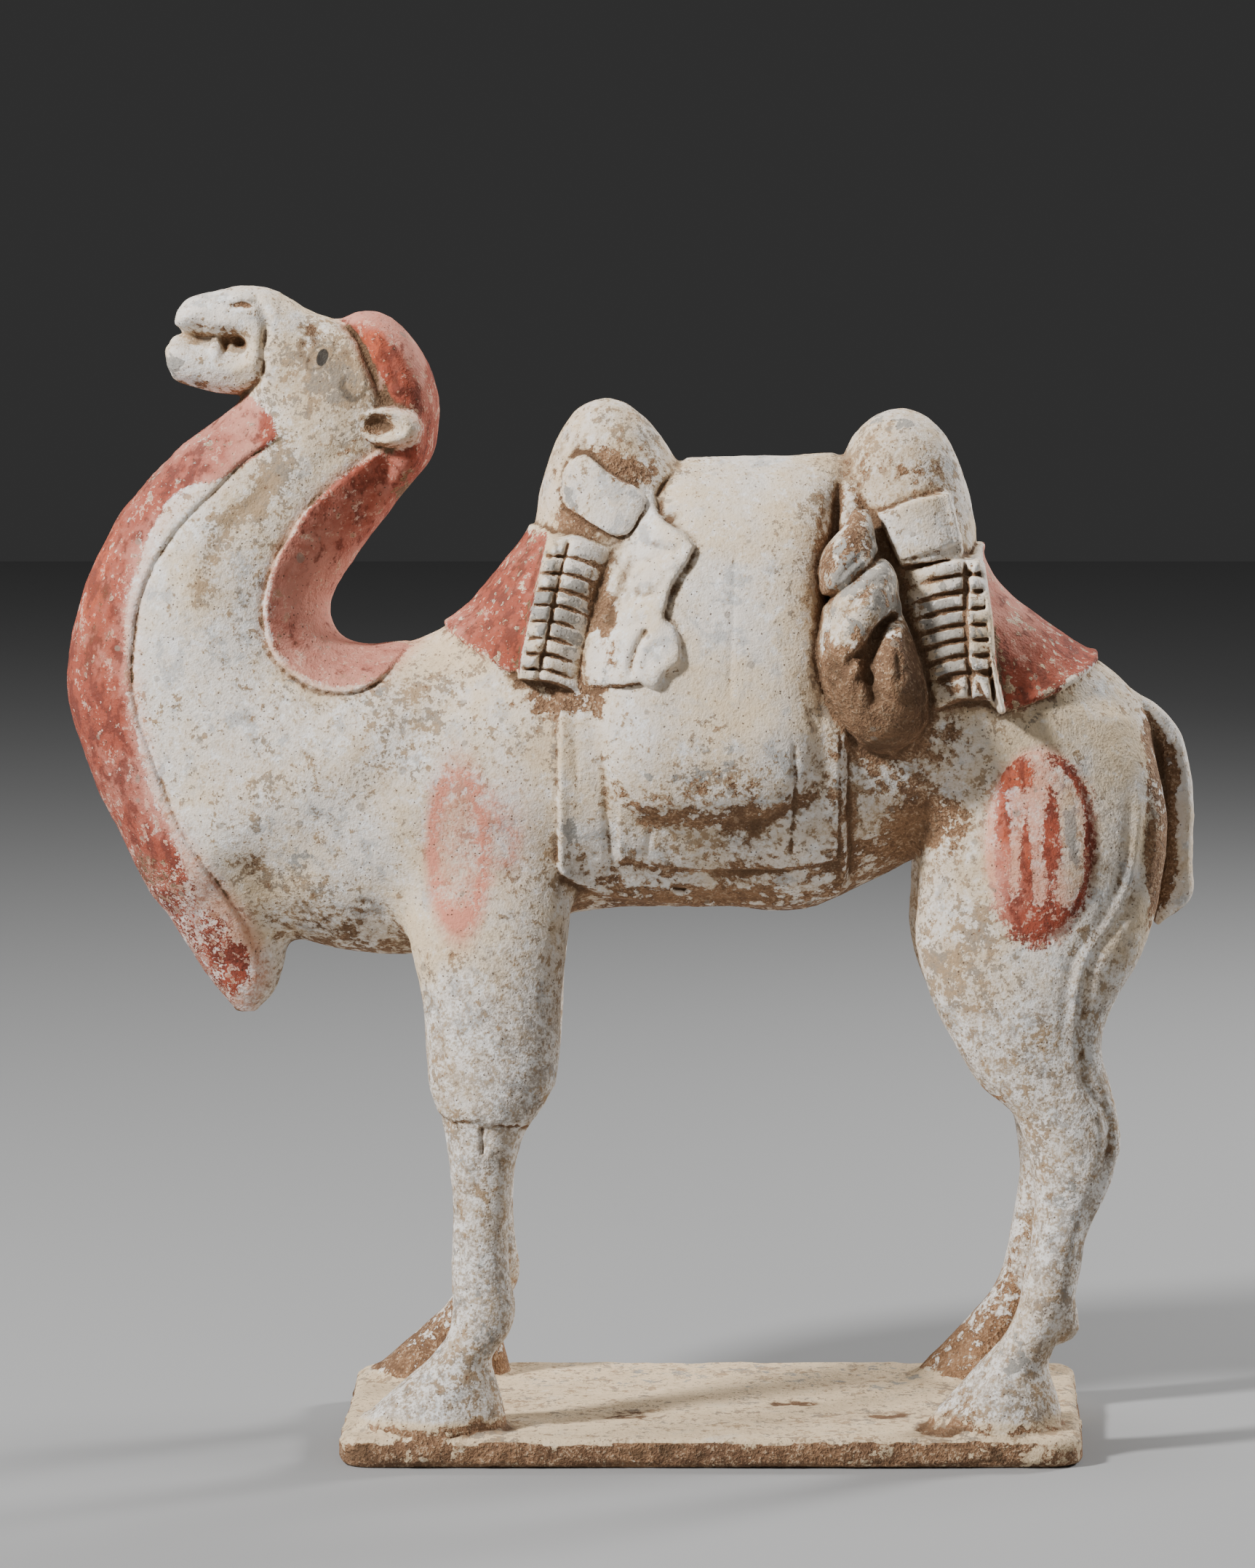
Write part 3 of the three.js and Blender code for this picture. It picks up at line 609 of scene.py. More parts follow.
# Ovals pressed into the head: x, z, half width, half height, depth (below 0 for a lump) and lean
HEAD_DIMPLES = [
    (-120.6, 432.8, 6.4, 4.2, -0.7, -0.72), (-119.9, 432.3, 1.9, 2.9, 0.35),  # eye
    (-143, 428, 1.5, 3.2, 1), (-143, 440, 1.2, 4, 0.7),  # behind the muzzle
    (-155.6, 436.8, 5, 4.6, 1), (-156.4, 437.4, 1.3, 2.2, -0.9, 0.4),  # inside the mouth
    (-162.2, 436, 2.2, 4.2, -1.7, 0.1), (-153.4, 438.4, 1.5, 2, 0.9), (-158.5, 435.8, 1.2, 2.6, 0.9),
    (-167.8, 443.6, 0.9, 1.4, 0.9), (-162.9, 440.8, 0.8, 1.3, 0.8), (-169.5, 438.5, 2.4, 1.6, 0.4),
    (-151.6, 452.6, 5.2, 1.6, 1.6, 0.06),  # nostril
    (-95.8, 425.5, 2.6, 3.6, -1, 0.3), (-91, 419.5, 3, 2, -1.1),  # locks of the crest
]


def rounded(corners, steps=4):
    return spline(corners, steps, closed=True)


def raised(gap, height, edge=1.3):
    """A cloth or pad in relief: its height where the gap to its outline is below 0."""
    return height * ramp(edge / 2, -edge / 2, gap)


def scored(points, depth, width, fade=0.08):
    """A groove along a smooth curve through points."""
    gap, where = line_distance(spline(points, 4))
    ends = ramp(0, fade, where) * ramp(1, 1 - fade, where) if fade else 1.0
    return -depth * bell(gap, 0, width) * ends


def grooves(rows):
    return sum(scored(*row) for row in rows)


def dimple(x, z, wide, high, depth, lean=0.0):
    """An oval pressed in, soft at its rim."""
    dx, dz = SIDE_X - x, SIDE_Z - z
    along, across = dx * math.cos(lean) + dz * math.sin(lean), dz * math.cos(lean) - dx * math.sin(lean)
    return -depth * ramp(1.35, 0.45, np.hypot(along / wide, across / high))


def pack_stack(edges, cord, left, right, sinks):
    """A stack of small packs tied by a cord: bars one above the other, parted by the cord's channel."""
    cord, left, right = (x_along(line) for line in (cord, left, right))
    side = (SIDE_X - cord) * sinks
    run = np.clip(side / np.abs((right if sinks > 0 else left) - cord), 0, 1.2)
    level = SIDE_Z + 5.2 * run**1.5
    place = np.interp(level, edges[::-1], np.arange(len(edges)))
    across_bar = np.abs(2 * (place % 1.0) - 1)
    channel = 2.6 * bell(SIDE_X, cord, 1.2)
    bars = 8.8 - np.maximum(2.3 * ramp(0.48, 1.0, across_bar), channel) - 0.6 * across_bar**2
    bars *= 1 - 0.97 * np.clip(run, 0, 1) ** 1.7
    beside = np.maximum(left - SIDE_X, SIDE_X - right)
    gap = np.maximum(beside, np.maximum(level - edges[0], edges[-1] - level))
    return bars * ramp(0.8, -0.8, gap)


def neck_relief():
    line = spline(THROAT_LINE, 4).tolist()
    throat = outline_distance(line + [(-147, 160), (-240, 160), (-240, 420), (-170, 430)])
    height = 1.7 * ramp(0.7, -0.7, throat) * (0.25 + 0.75 * np.exp(np.minimum(throat, 0) / 11))
    height *= ramp(412, 396, SIDE_Z) * ramp(168, 184, SIDE_Z)
    height += scored(THROAT_LINE, 0.9, 1.3, 0.05)
    height += scored(NECK_FURROW, 0.9, 3.6, 0.3)
    mane = outline_distance(rounded(BACK_MANE, 3))
    band = ramp(0.9, -0.9, mane) * (1.1 + 1.5 * np.exp(np.minimum(mane, 0) / 6))
    shoulder = ramp(-100, -82, SIDE_X) * ramp(352, 340, SIDE_Z)
    height += band * ramp(405, 388, SIDE_Z) * (1 - shoulder)
    return height + scored(shifted(BACK_MANE[1:12], -1.4, -0.9), 0.6, 1.2)


def cloth_relief():
    """What lies on the animal under the load: felts and the blanket, over both sides of the back."""
    front = raised(outline_distance(rounded(FRONT_CLOTH, 3)), 1.8)
    rear_gap = outline_distance(rounded(REAR_CLOTH, 3))
    rear = raised(rear_gap, 2.4, 1.2) + 0.8 * bell(rear_gap, -1.8, 1.5)
    blanket_gap = outline_distance(BLANKET)
    blanket = raised(blanket_gap, 2.8, 1.6) + 0.7 * bell(blanket_gap, -1.8, 1.4)
    blanket *= ramp(312, 286, SIDE_Z)
    panel = raised(outline_distance(BLANKET_PANEL), 1.5, 1.2) * ramp(300, 280, SIDE_Z)
    rim = 1.5 * bell(SIDE_Z, 224.5, 4.6) * ramp(-8, 2, SIDE_X)
    cloth = np.maximum(np.maximum(front, rear), blanket + (panel + rim) * (blanket_gap < 0))
    return cloth + grooves(CLOTH_GROOVES)


def load_relief():
    """What lies on the sack and on the humps' sides."""
    lift = 3.2 + 2.6 * ramp(0, 22, (SIDE_X + 22) * 0.55 + (SIDE_Z - 372) * 0.83)
    pad = raised(outline_distance(rounded(FRONT_PAD, 2)), 1, 1) * lift
    rear_pad = raised(outline_distance(REAR_PAD), 6.4, 1.2)
    strip = ramp(0.5, -0.5, SIDE_Z - np.interp(SIDE_X, (107, 128.8), (353.6, 359.9)))
    rear_pad -= 1.6 * strip * (rear_pad > 3)
    rear_pad += 0.9 * raised(outline_distance(REAR_PAD_EDGE), 1) * (rear_pad > 3)
    drape_gap = outline_distance(rounded(DRAPE, 2))
    loose = ramp(-8, 6, SIDE_X - 0.26 * (SIDE_Z - 340))  # the left edge hugs the stack
    drape = 3.2 * ramp(3.2 - 2.4 * loose, -3.2 + 2.4 * loose, drape_gap)
    drape += 0.7 * loose * bell(drape_gap, -3, 2.4)
    drape += grooves(DRAPE_FOLDS) * ramp(0, -2, drape_gap)
    plate = (8.4 + 1.6 * ramp(325, 300, SIDE_Z)) * ramp(1.9, 0.7, line_distance(STACK_PLATE)[0])
    parts = (pad, rear_pad, drape, plate, pack_stack(**FRONT_STACK), pack_stack(**REAR_STACK))
    return np.max(parts, axis=0) + grooves(SACK_FOLDS)


def hank_relief():
    """Creases between the hank's strands, and the bulb at its end."""
    bulb, hollow = outline_distance(rounded(HANK_BULB, 3)), outline_distance(HANK_HOLLOW)
    height = 3.6 * ramp(0.5, -6, bulb) - 2.6 * ramp(0.8, -3, hollow) + grooves(HANK_STRANDS)
    for crease, depth, width in HANK_CREASES:
        height += scored(crease, depth, width, 0.14)
        height += scored(crease, -0.3 * depth, 3.2 * width, 0.14)
    return height


def head_relief():
    height = sum(dimple(*row) for row in HEAD_DIMPLES) + grooves(HEAD_GROOVES)
    lips = outline_distance(rounded(MOUTH, 3))
    return height - 1.3 * ramp(1.8, -3.2, lips) + 0.9 * bell(lips, 2.8, 2) * ramp(-140, -146, SIDE_X)


def leg_relief():
    cuff_gap = SIDE_Z - np.interp(SIDE_X, *zip(*CUFF_EDGE))
    fringe = 0.35 * np.sin(SIDE_X * 0.9) + 0.25 * np.sin(SIDE_X * 2.1 + 1)
    cuff = 1.5 * ramp(-0.7, 0.7, cuff_gap + fringe) * ramp(190, 150, SIDE_Z)
    return cuff * ramp(0, -14, SIDE_X) + grooves(LEG_GROOVES)


def hip_relief():
    oval = oval_reach(THIGH_OVAL)
    height = 3.4 * np.sqrt(np.clip(1 - oval**3, 0, 1)) * ramp(1.04, 0.9, oval)
    return height + grooves(HIP_GROOVES)


def at_side(height, inner, outer):
    """Relief that fades in across the field from one distance off the middle plane to another."""
    fade = ramp(inner, outer, -AXES[1])[None, :, None]
    return height[:, None, :].astype(np.float32) * fade.astype(np.float32)


LUMP_VALUES = 8192  # how many random values there are, a power of 2
LUMP_PRIMES = (73856093, 19349663, 83492791)  # they scatter the cells of space over the values


def lumps(points, size, seed):
    """Smooth random values from -1 to 1 over space, in patches of the given size in millimetres."""
    table = np.random.default_rng(seed).uniform(-1, 1, LUMP_VALUES).astype(np.float32)
    cell = points / size
    low = np.floor(cell).astype(np.int64)
    part = (cell - low).astype(np.float32)
    part = part * part * part * (part * (part * 6 - 15) + 10)
    total = np.zeros(len(points), np.float32)
    for at, weight in cell_corners(low, part):
        at = at * LUMP_PRIMES
        total += weight * table[(at[:, 0] ^ at[:, 1] ^ at[:, 2]) & (LUMP_VALUES - 1)]
    return total


def normals_of(corners, faces):
    """Unit normals at the corners of four-sided faces."""
    a, b, c, d = corners[faces.T]
    across = np.cross(c - a, d - b)
    normals = np.stack([
        np.bincount(faces.ravel(), np.repeat(across[:, axis], 4), len(corners)) for axis in range(3)
    ], axis=1)
    return normals / np.maximum(np.linalg.norm(normals, axis=1, keepdims=True), 1e-9)


def lumpy(points, rows):
    """The sum of lumps of several sizes. A row is how high they are, their size and a seed."""
    return sum(height * lumps(points, size, seed) for height, size, seed in rows)


def make_uneven(corners, faces):
    """Presses, dents and erodes the even surface as handling and burial did."""
    x, y, z = corners.T
    normals = normals_of(corners, faces)
    push = lumpy(corners, [(0.42, 21, 1), (0.22, 9, 2), (0.11, 4.2, 3)])
    frayed = ramp(0.25, 0.75, lumps(corners, 26, 4) * 0.5 + 0.5)
    push += 0.16 * frayed * lumps(corners, 2.6, 5)
    strands = ramp(4, 0, np.hypot((x - 98) / 1.2, z - 298) - 20) * (np.abs(y) > 40)
    push += strands * lumpy(corners, [(0.5, 3.6, 6), (0.35, 7, 7)])
    slab = ramp(17, 13, z) * ramp(0.4, 2.0, z)
    side = np.abs(normals[:, 2]) < 0.5
    push += slab * 0.6 * lumps(corners, 24, 8)
    push += slab * side * lumpy(corners, [(0.7, 13, 9), (0.45, 5, 10), (0.2, 2.4, 11)])
    push *= ramp(0.2, 1.2, z)
    return corners + normals * push[:, None]


# Outlines and strokes of the cold paint, as x, z seen from the side. An oval is x, z and half sizes.
THROAT_PAINT = [
    (-230, 430), (-156.6, 417.1), (-150.9, 418.2), (-145.2, 413.7), (-139.5, 407.9), (-137.8, 401.6),
    (-143.4, 395.9), (-150.3, 390.2), (-159.4, 384.4), (-170, 381.5), (-178.9, 374.3), (-187, 365.2),
    (-190.5, 358.2), (-192.8, 350.1), (-196.3, 339.8), (-198.1, 327.2), (-197.3, 316.9),
    (-196.3, 308.8), (-194.7, 293.6), (-190.9, 275.3), (-187, 259.2), (-177.9, 244.3), (-168.9, 230.5),
    (-162.1, 221.3), (-155.2, 212.1), (-149.6, 198.2), (-147.1, 186.7), (-150.8, 178.6), (-156, 165),
    (-230, 165),
]
MANE_PAINT = [
    (-114.5, 450), (-112.3, 446.2), (-106, 440.1), (-101.5, 430.8), (-98.1, 422.1), (-94.7, 415),
    (-84, 412), (-80.5, 406), (-81.5, 399), (-88, 396.5), (-95, 396), (-100.1, 393.4), (-109.3, 388),
    (-116.8, 382.5), (-125.4, 372.9), (-133.4, 361.4), (-139.2, 350), (-142.3, 338.5), (-142.6, 327),
    (-138.6, 316.9), (-132.9, 310.9), (-122.7, 304.8), (-113.6, 303), (-102.2, 304.8), (-93, 310.4),
    (-86.2, 317), (-79.3, 325), (-60, 345), (-50, 400), (-60, 460), (-110, 465),
]
CREST_BACK = [
    (-112, 448), (-104, 450), (-96, 446), (-86, 437), (-78, 424), (-74.5, 408), (-78, 393), (-87, 380),
    (-98, 368),
]
THIGH_STRIPES = [  # x, z and half sizes
    (146.5, 240, 3.2, 24), (155.2, 234, 2.2, 22), (165.4, 246, 3.6, 23), (180.8, 243, 2.6, 27),
]
SHOULDER_ROSE = (-66, 242, 12.5, 35)
SHOULDER_PETAL = [(-54, 263), (-50, 253), (-44, 245), (-45, 237), (-52, 236), (-55, 242)]
TAIL_INSIDE = [
    (200, 296), (206, 295), (212.6, 287), (217.4, 277), (219.4, 262.5), (219.8, 245), (218.2, 228),
    (214.4, 214), (209.5, 207.5), (203, 206), (200, 250),
]

# Spots in the side view. A row is strength, x, z, half width, half height and, if it leans, its lean.
# Where the paint is worn back from its outline, and once where it is thicker, in millimetres
THROAT_EDGE_WORN = [(-9, -210, 270, 7, 12), (-5, -214, 308, 3, 6)]
THROAT_WORN = [(6, -153, 192, 6, 9), (-3, -201, 288, 6, 10), (-2.5, -180, 378, 12, 8)]
MANE_WORN = [(-5, -100, 421, 6, 5), (-4, -137, 331, 4, 12)]
FRONT_CLOTH_WORN = [(-2.5, -56, 324, 10, 5, -0.6), (-3, -38, 360, 5, 7)]
REAR_CLOTH_WORN = [(-3.5, 172, 309, 14, 5, -0.45)]
# Where the red is a bright orange red: throat, crest and thigh
GLOW_SPOTS = [
    (0.64, -214, 340, 8, 22), (0.48, -206, 360, 8, 14), (0.72, -99, 438, 8, 9),
    (0.32, -104, 430, 6, 12), (0.64, 147, 250, 4, 22), (0.56, 156, 240, 3, 20), (0.8, 155, 270, 9, 8),
    (0.32, 165, 252, 4, 24), (0.24, 181, 243, 4, 26),
]
# Where more or less of the slip is lost
CLAY_SPOTS = [
    (-0.2, 4, 345, 15, 34, -0.3), (-0.2, -8, 377, 12, 10), (-0.2, 116, 366, 12, 10),  # drape and pads
    (-0.2, 36, 340, 22, 34), (0.22, 33, 264, 42, 13), (-0.1, 55, 219, 60, 8),  # sack and blanket
    (0.3, 84, 242, 7, 14), (0.3, 112, 262, 30, 24), (0.5, 104, 283, 24, 10),  # flank
    (0.3, 116, 251, 18, 16), (-0.1, 160, 262, 24, 30),  # and thigh
    (0.5, -22, 299, 17, 7), (0.5, -9.5, 335, 4.5, 26, 0.2), (0.5, -24, 369, 6, 5),  # by the front stack
    (0.5, -4, 391, 13, 5, -0.65), (0.36, 3, 391, 13, 10), (0.34, 108, 391, 19, 12),  # humps
    (0.35, 88, 366, 9, 22), (0.3, 76, 352, 3.5, 22),  # between sack and rear hump: bare clay and painted shade in the recess
    (-0.35, -162, 438, 14, 8), (0.1, -166, 443, 8, 3, -0.4), (0.25, -155.5, 437, 5, 5),  # mouth
    (0.3, -153.5, 438.5, 1.8, 2.4), (0.3, -158.5, 436, 1.5, 3),
    (0.3, -146, 432, 3, 13), (0.5, -151.6, 452.6, 5, 2),  # behind the muzzle, nostril
    (0.6, -99.5, 405, 7, 6), (0.26, -110, 394, 10, 4, 0.5),  # ear and jaw
    (0.2, -140, 216, 5, 6), (0.12, -98, 296, 30, 10, 0.3), (-0.15, -120, 270, 50, 40),  # neck and chest
]
MOUTH_KEPT_LIGHT = (-160, 438, 17, 9)  # less soil and painted shade lie here than in other hollows
# Where the slip is stained more or less than elsewhere
STAIN_SPOTS = [
    (0.34, -160, 438.5, 13, 6), (-0.15, -165, 440, 18, 18), (0.3, -118, 422, 26, 22),  # head
    (0.15, -112, 418, 20, 24), (0.25, -140, 400, 16, 12), (0.16, -150, 330, 20, 70, 0.2),
    (0.14, -120, 262, 50, 34), (0.22, -92, 300, 34, 12, 0.2), (0.16, -84, 284, 22, 18, -0.5),
    (0.22, -120, 222, 36, 12), (0.3, -36, 282, 15, 11), (0.25, -36, 222, 14, 26),  # chest and shoulder
    (0.45, 6, 398, 20, 18), (0.4, 106, 392, 24, 20),  # humps
    # The first row darkens the recess along the sack's right edge beside the hank: stain and painted shade
    (0.35, 76, 350, 6, 26), (0.3, 90, 330, 26, 50), (0.25, 30, 244, 60, 12), (0.45, 33, 269, 34, 13),
    (-0.25, 4, 345, 15, 34, -0.3), (-0.25, 36, 338, 20, 30), (-0.25, 116, 366, 12, 10),  # load
    (0.3, 128, 222, 30, 40), (0.3, 115, 262, 34, 26), (0.5, 173.5, 246, 5.5, 28, 0.1),  # hind quarter; the last row darkens the thigh oval's right side, stain and painted shade
]
# Where the surface is rubbed grey
GREY_SPOTS = [
    (0.5, -176, 430, 7, 5), (0.4, -165, 447.5, 8, 2.5, -0.3), (0.42, -85, 407, 7, 8),  # lips and ear
    (0.3, -158, 336, 7, 26, 0.2), (0.5, -128, 305, 8, 3), (0.45, -100, 302, 14, 3),  # neck
    (0.38, -149, 241, 8, 5), (0.38, -128, 238, 8, 6), (0.5, -22, 248, 4, 14),
    (0.36, 106, 406, 14, 5), (0.25, 55, 383, 26, 4), (0.3, 33, 272, 34, 11),  # rear hump and sack
    # The last row greys a strip down the thigh oval's right side: rubbed slip and painted shade
    (0.2, 120, 205, 26, 30), (0.6, 173.5, 246, 5.5, 27, 0.1),
]
# Where ash-grey dirt lies in the slip, and where the slip is creamier or whiter
ASH_SPOTS = [
    (0.7, 188, 240, 16, 44), (0.6, 33, 271, 32, 12), (0.45, 128, 232, 22, 30), (0.3, -52, 215, 24, 22),
]
CREAM_SPOTS = [
    (0.5, -118, 425, 26, 26), (-0.5, -165, 440, 14, 20), (0.3, -140, 345, 26, 50, 0.2),
    (0.3, -172, 330, 9, 60, 0.1), (-0.25, -130, 275, 45, 36), (0.3, -104, 232, 40, 12),
    (0.45, -68, 226, 22, 34), (0.3, -78, 312, 30, 12), (0.35, -50, 284, 40, 18),
    (-0.25, -88, 280, 22, 16), (0.25, -14, 385, 22, 26), (0.6, 40, 302, 32, 18),
    (0.3, 150, 300, 40, 30),
]


def spot(x, z, at_x, at_z, wide, high, lean=0.0):
    """1 at a place in the side view, falling to 0 some way off."""
    dx, dz = x - at_x, z - at_z
    along, across = dx * math.cos(lean) + dz * math.sin(lean), dz * math.cos(lean) - dx * math.sin(lean)
    return np.exp(-((along / wide) ** 2) - (across / high) ** 2)


def spots(x, z, rows):
    return sum(strength * spot(x, z, *place) for strength, *place in rows)


def paint_cover(x, z, lie):
    """Millimetres inside the painted parts, less where the paint is worn off, and how frayed it is."""
    throat = np.minimum(spots(x, z, THROAT_EDGE_WORN) - outline_distance(THROAT_PAINT, x, z), 6)
    throat += spots(x, z, THROAT_WORN) - 5.4 * ramp(252, 222, z)
    mane = spots(x, z, MANE_WORN) - outline_distance(MANE_PAINT, x, z)
    mane -= 6 * ramp(12, 0, lie) * ramp(415, 380, z) * ramp(-126, -112, x + (z - 340) * 0.1)
    short_of_stack = x_along(FRONT_STACK["left"], z) + 0.3 - x
    front = np.minimum(0.4 - outline_distance(FRONT_CLOTH, x, z), 6 * short_of_stack)
    front = np.minimum(front, 5) + spots(x, z, FRONT_CLOTH_WORN)
    past_plate = x - x_along(STACK_PLATE, z) - 1.4
    rear = np.minimum(0.6 - outline_distance(REAR_CLOTH, x, z), 6 * past_plate)
    rear = np.minimum(rear, 5) + spots(x, z, REAR_CLOTH_WORN)
    oval = oval_reach(THIGH_OVAL, x, z)
    stripes = sum(spot(x, z, at + 0.0007 * (z - 243) ** 2, *rest) for at, *rest in THIGH_STRIPES)
    ring = bell(oval, 0.93, 0.09) * (0.15 + 0.85 * ramp(158, 176, x))
    strokes = 5.5 * (stripes + 0.75 * ring + 0.7 * ramp(228, 212, z)) - 2.4
    thigh = np.minimum(8 * (1.02 - oval), strokes) + 4 * spot(x, z, 153, 271, 8, 7) * (oval < 1)
    parts = np.stack([throat, mane, front, rear, thigh])
    even_frays = [np.full_like(x, fray) for fray in (0.4, 0.7, 0.8, 0.45)]
    frays = np.stack([0.45 + 0.9 * ramp(265, 225, z), *even_frays])
    top = parts.argmax(axis=0)[None]
    return np.take_along_axis(parts, top, 0)[0], np.take_along_axis(frays, top, 0)[0]


def paint_tone(x, z):
    """From 0 for brick red to 1 for pale pink."""
    throat = 0.12 + 0.5 * ramp(372, 398, z) + 0.35 * spot(x, z, -192, 262, 14, 16)
    throat += 0.45 * ramp(6, 0, -outline_distance(THROAT_PAINT, x, z)) * ramp(222, 250, z)
    throat -= 0.2 * ramp(222, 195, z)
    mane = 0.2 + 0.47 * ramp(392, 335, z)
    mane += 0.3 * ramp(8, 16, -outline_distance(BACK_MANE, x, z)) * ramp(370, 340, z)
    front_cloth = 0.12 + 0.35 * ramp(-50, -80, x)
    rear_cloth = 0.1 + 0.65 * ramp(310, 340, z - 0.25 * (x - 145))
    thigh = 0.12 + 0.5 * ramp(0.0, -0.9, (x - 161) / 22) - 0.3 * ramp(228, 212, z)
    crest = 0.8 * ramp(6, 2, line_distance(CREST_BACK, x, z)[0])
    on_crest = (x < -80) & (x > -112) & (z > 396)
    on_thigh = (x > 130) & (z < 287)
    on_front_cloth = (x > -85) & (z < 372)
    return np.select([on_crest, on_thigh, x > 130, on_front_cloth, x < -145],
                     [crest, thigh, rear_cloth, front_cloth, throat], mane)


def corner_values(mesh, name, width=1):
    """What a mesh keeps for each corner: its place in millimetres, its normal or a stored number."""
    values = np.empty(width * len(mesh.vertices), np.float32)
    if name == "place":
        mesh.vertices.foreach_get("co", values)
        values *= 1000
    elif name == "normal":
        mesh.vertex_normals.foreach_get("vector", values)
    else:
        mesh.attributes[name].data.foreach_get("value", values)
    return values.reshape(-1, width) if width > 1 else values


def store(mesh, values_by_name):
    for name, values in values_by_name.items():
        stored = mesh.attributes.get(name) or mesh.attributes.new(name, "FLOAT", "POINT")
        stored.data.foreach_set("value", np.asarray(values, np.float32))


HOLLOW_REACH = {"fine": 2, "broad": 8}  # in voxels


def store_hollows(mesh, whole):
    """Stores how deep the corners lie in fine and broad hollows."""
    points = corner_values(mesh, "place", 3)
    store(mesh, {name: depth_of_hollows(whole, points, reach) for name, reach in HOLLOW_REACH.items()})


class Skin:
    """Where the mesh's corners are, which way they face, and how they lie in hollows or on parts."""

    def __init__(self, mesh):
        self.points = corner_values(mesh, "place", 3)
        x, y, z = self.points.T
        self.x, self.z, self.lie = x, z, np.abs(y)
        self.up = corner_values(mesh, "normal", 3)[:, 2]
        self.fine = corner_values(mesh, "fine")
        broad = corner_values(mesh, "broad")
        deep = 1.5 * np.maximum(self.fine - 0.07, 0) + 1.1 * np.maximum(broad - 0.08, 0)
        self.hollow = np.clip(deep, 0, 1)
        self.nook = ramp(0.03, 0.3, broad)
        self.edge = np.clip(-self.fine - 0.12, 0, 1)
        self.far = ramp(-4, 4, y)
        self.on_base = ramp(19, 15, z)
        stacks = np.maximum(spot(x, z, -24, 335, 17, 30, 0.25), spot(x, z, 125, 327, 18, 29))
        self.stack = stacks * (self.lie > 35)
        hank_outline = [ring[0:2] for ring in HANK] + [ring[2:4] for ring in HANK[::-1]]
        self.hank = ramp(3, -3, outline_distance(hank_outline, x, z)) * (self.lie > 30)

    def lumps(self, size, seed):
        return lumps(self.points, size, seed)

    def spots(self, rows):
        return spots(self.x, self.z, rows)


def clay_shown(skin):
    """How much of the slip is lost."""
    x, z = skin.x, skin.z
    clay = -0.36 + 0.75 * skin.hollow + 0.42 * ramp(0.35, 0.95, -skin.up) + 0.1 * skin.lumps(38, 21)
    clay += skin.spots(CLAY_SPOTS) - 0.3 * skin.edge
    clay += skin.hank * (0.1 + 0.6 * ramp(335, 308, z))
    clay += skin.stack * (0.1 + 0.6 * ramp(-0.02, 0.1, skin.fine) + 0.25 * ramp(126, 110, x) * (x > 60))
    clay += 0.12 * ramp(236, 228, z) * ramp(-14, -4, x) * ramp(96, 84, x) * (z > 205)
    clay += 0.3 * ramp(24, 8, z) + 0.22 * skin.on_base * (np.abs(skin.up) < 0.6)
    clay -= 0.85 * skin.on_base * (skin.up > 0.6) * ramp(0.4, 0.1, skin.hollow)
    clay += skin.far * (0.12 + 0.4 * ramp(75, 30, z) * (z > 16))
    tail = outline_distance(TAIL_INSIDE, x, z) + 2 * skin.lumps(11, 28)
    return clay + 0.6 * ramp(2, -3, tail) * ramp(200, 206, x) * ramp(58, 40, skin.lie)


def stained(skin):
    x, z = skin.x, skin.z
    stain = 0.14 + lumpy(skin.points, [(0.14, 27, 26), (0.1, 60, 27)]) + skin.spots(STAIN_SPOTS)
    stain += 0.3 * skin.hollow + 0.5 * skin.nook + 0.2 * skin.on_base + 0.16 * ramp(222, 190, z) * (z > 18)
    stain += 0.42 * ramp(9, 0, line_distance(spline(NECK_FURROW, 4), x, z)[0])
    return stain + 0.22 * (oval_reach(SHOULDER_ROSE, x, z) < 0.85)


def greyed(skin):
    x, z = skin.x, skin.z
    grey = -0.42 + 0.12 * skin.lumps(30, 22) + 0.3 * skin.edge * ramp(-60, -20, x)
    grey += 0.45 * bell(outline_distance(rounded(FRONT_PAD, 2), x, z), -2.5, 2.5) * (x < -16)
    grey += 0.62 * skin.stack * ramp(0.06, -0.08, skin.fine) + 0.42 * skin.hank * ramp(312, 335, z)
    return grey + skin.spots(GREY_SPOTS) + 0.16 * ramp(150, 120, z) * (z > 30)


def blushed(skin):
    """Pink in the slip: the rose and petal on the shoulder, and around the red paint."""
    x, z = skin.x, skin.z
    rose = oval_reach(SHOULDER_ROSE, x, z)
    throat_gap, mane_gap = (outline_distance(paint, x, z) for paint in (THROAT_PAINT, MANE_PAINT))
    strokes = [
        (bell(rose, 0.88, 0.2) + 0.5 * (rose < 0.88)) * (1 - 0.5 * spot(x, z, -66, 275, 10, 8)),
        0.8 * ramp(4.5, 0.5, line_distance(spline(SHOULDER_PETAL, 4), x, z)[0]),
        0.4 * spot(x, z, -48, 249, 9, 18),
        0.5 * ramp(9, 0, throat_gap) * ramp(400, 330, z),
        0.45 * ramp(5, -1, mane_gap),
        0.7 * ramp(1.08, 0.95, oval_reach(THIGH_OVAL, x, z)) * (1 - spot(x, z, 173.5, 246, 6, 30, 0.1)),
    ]
    return np.max(strokes, axis=0) * ((skin.lie > 8) | (x < -60))


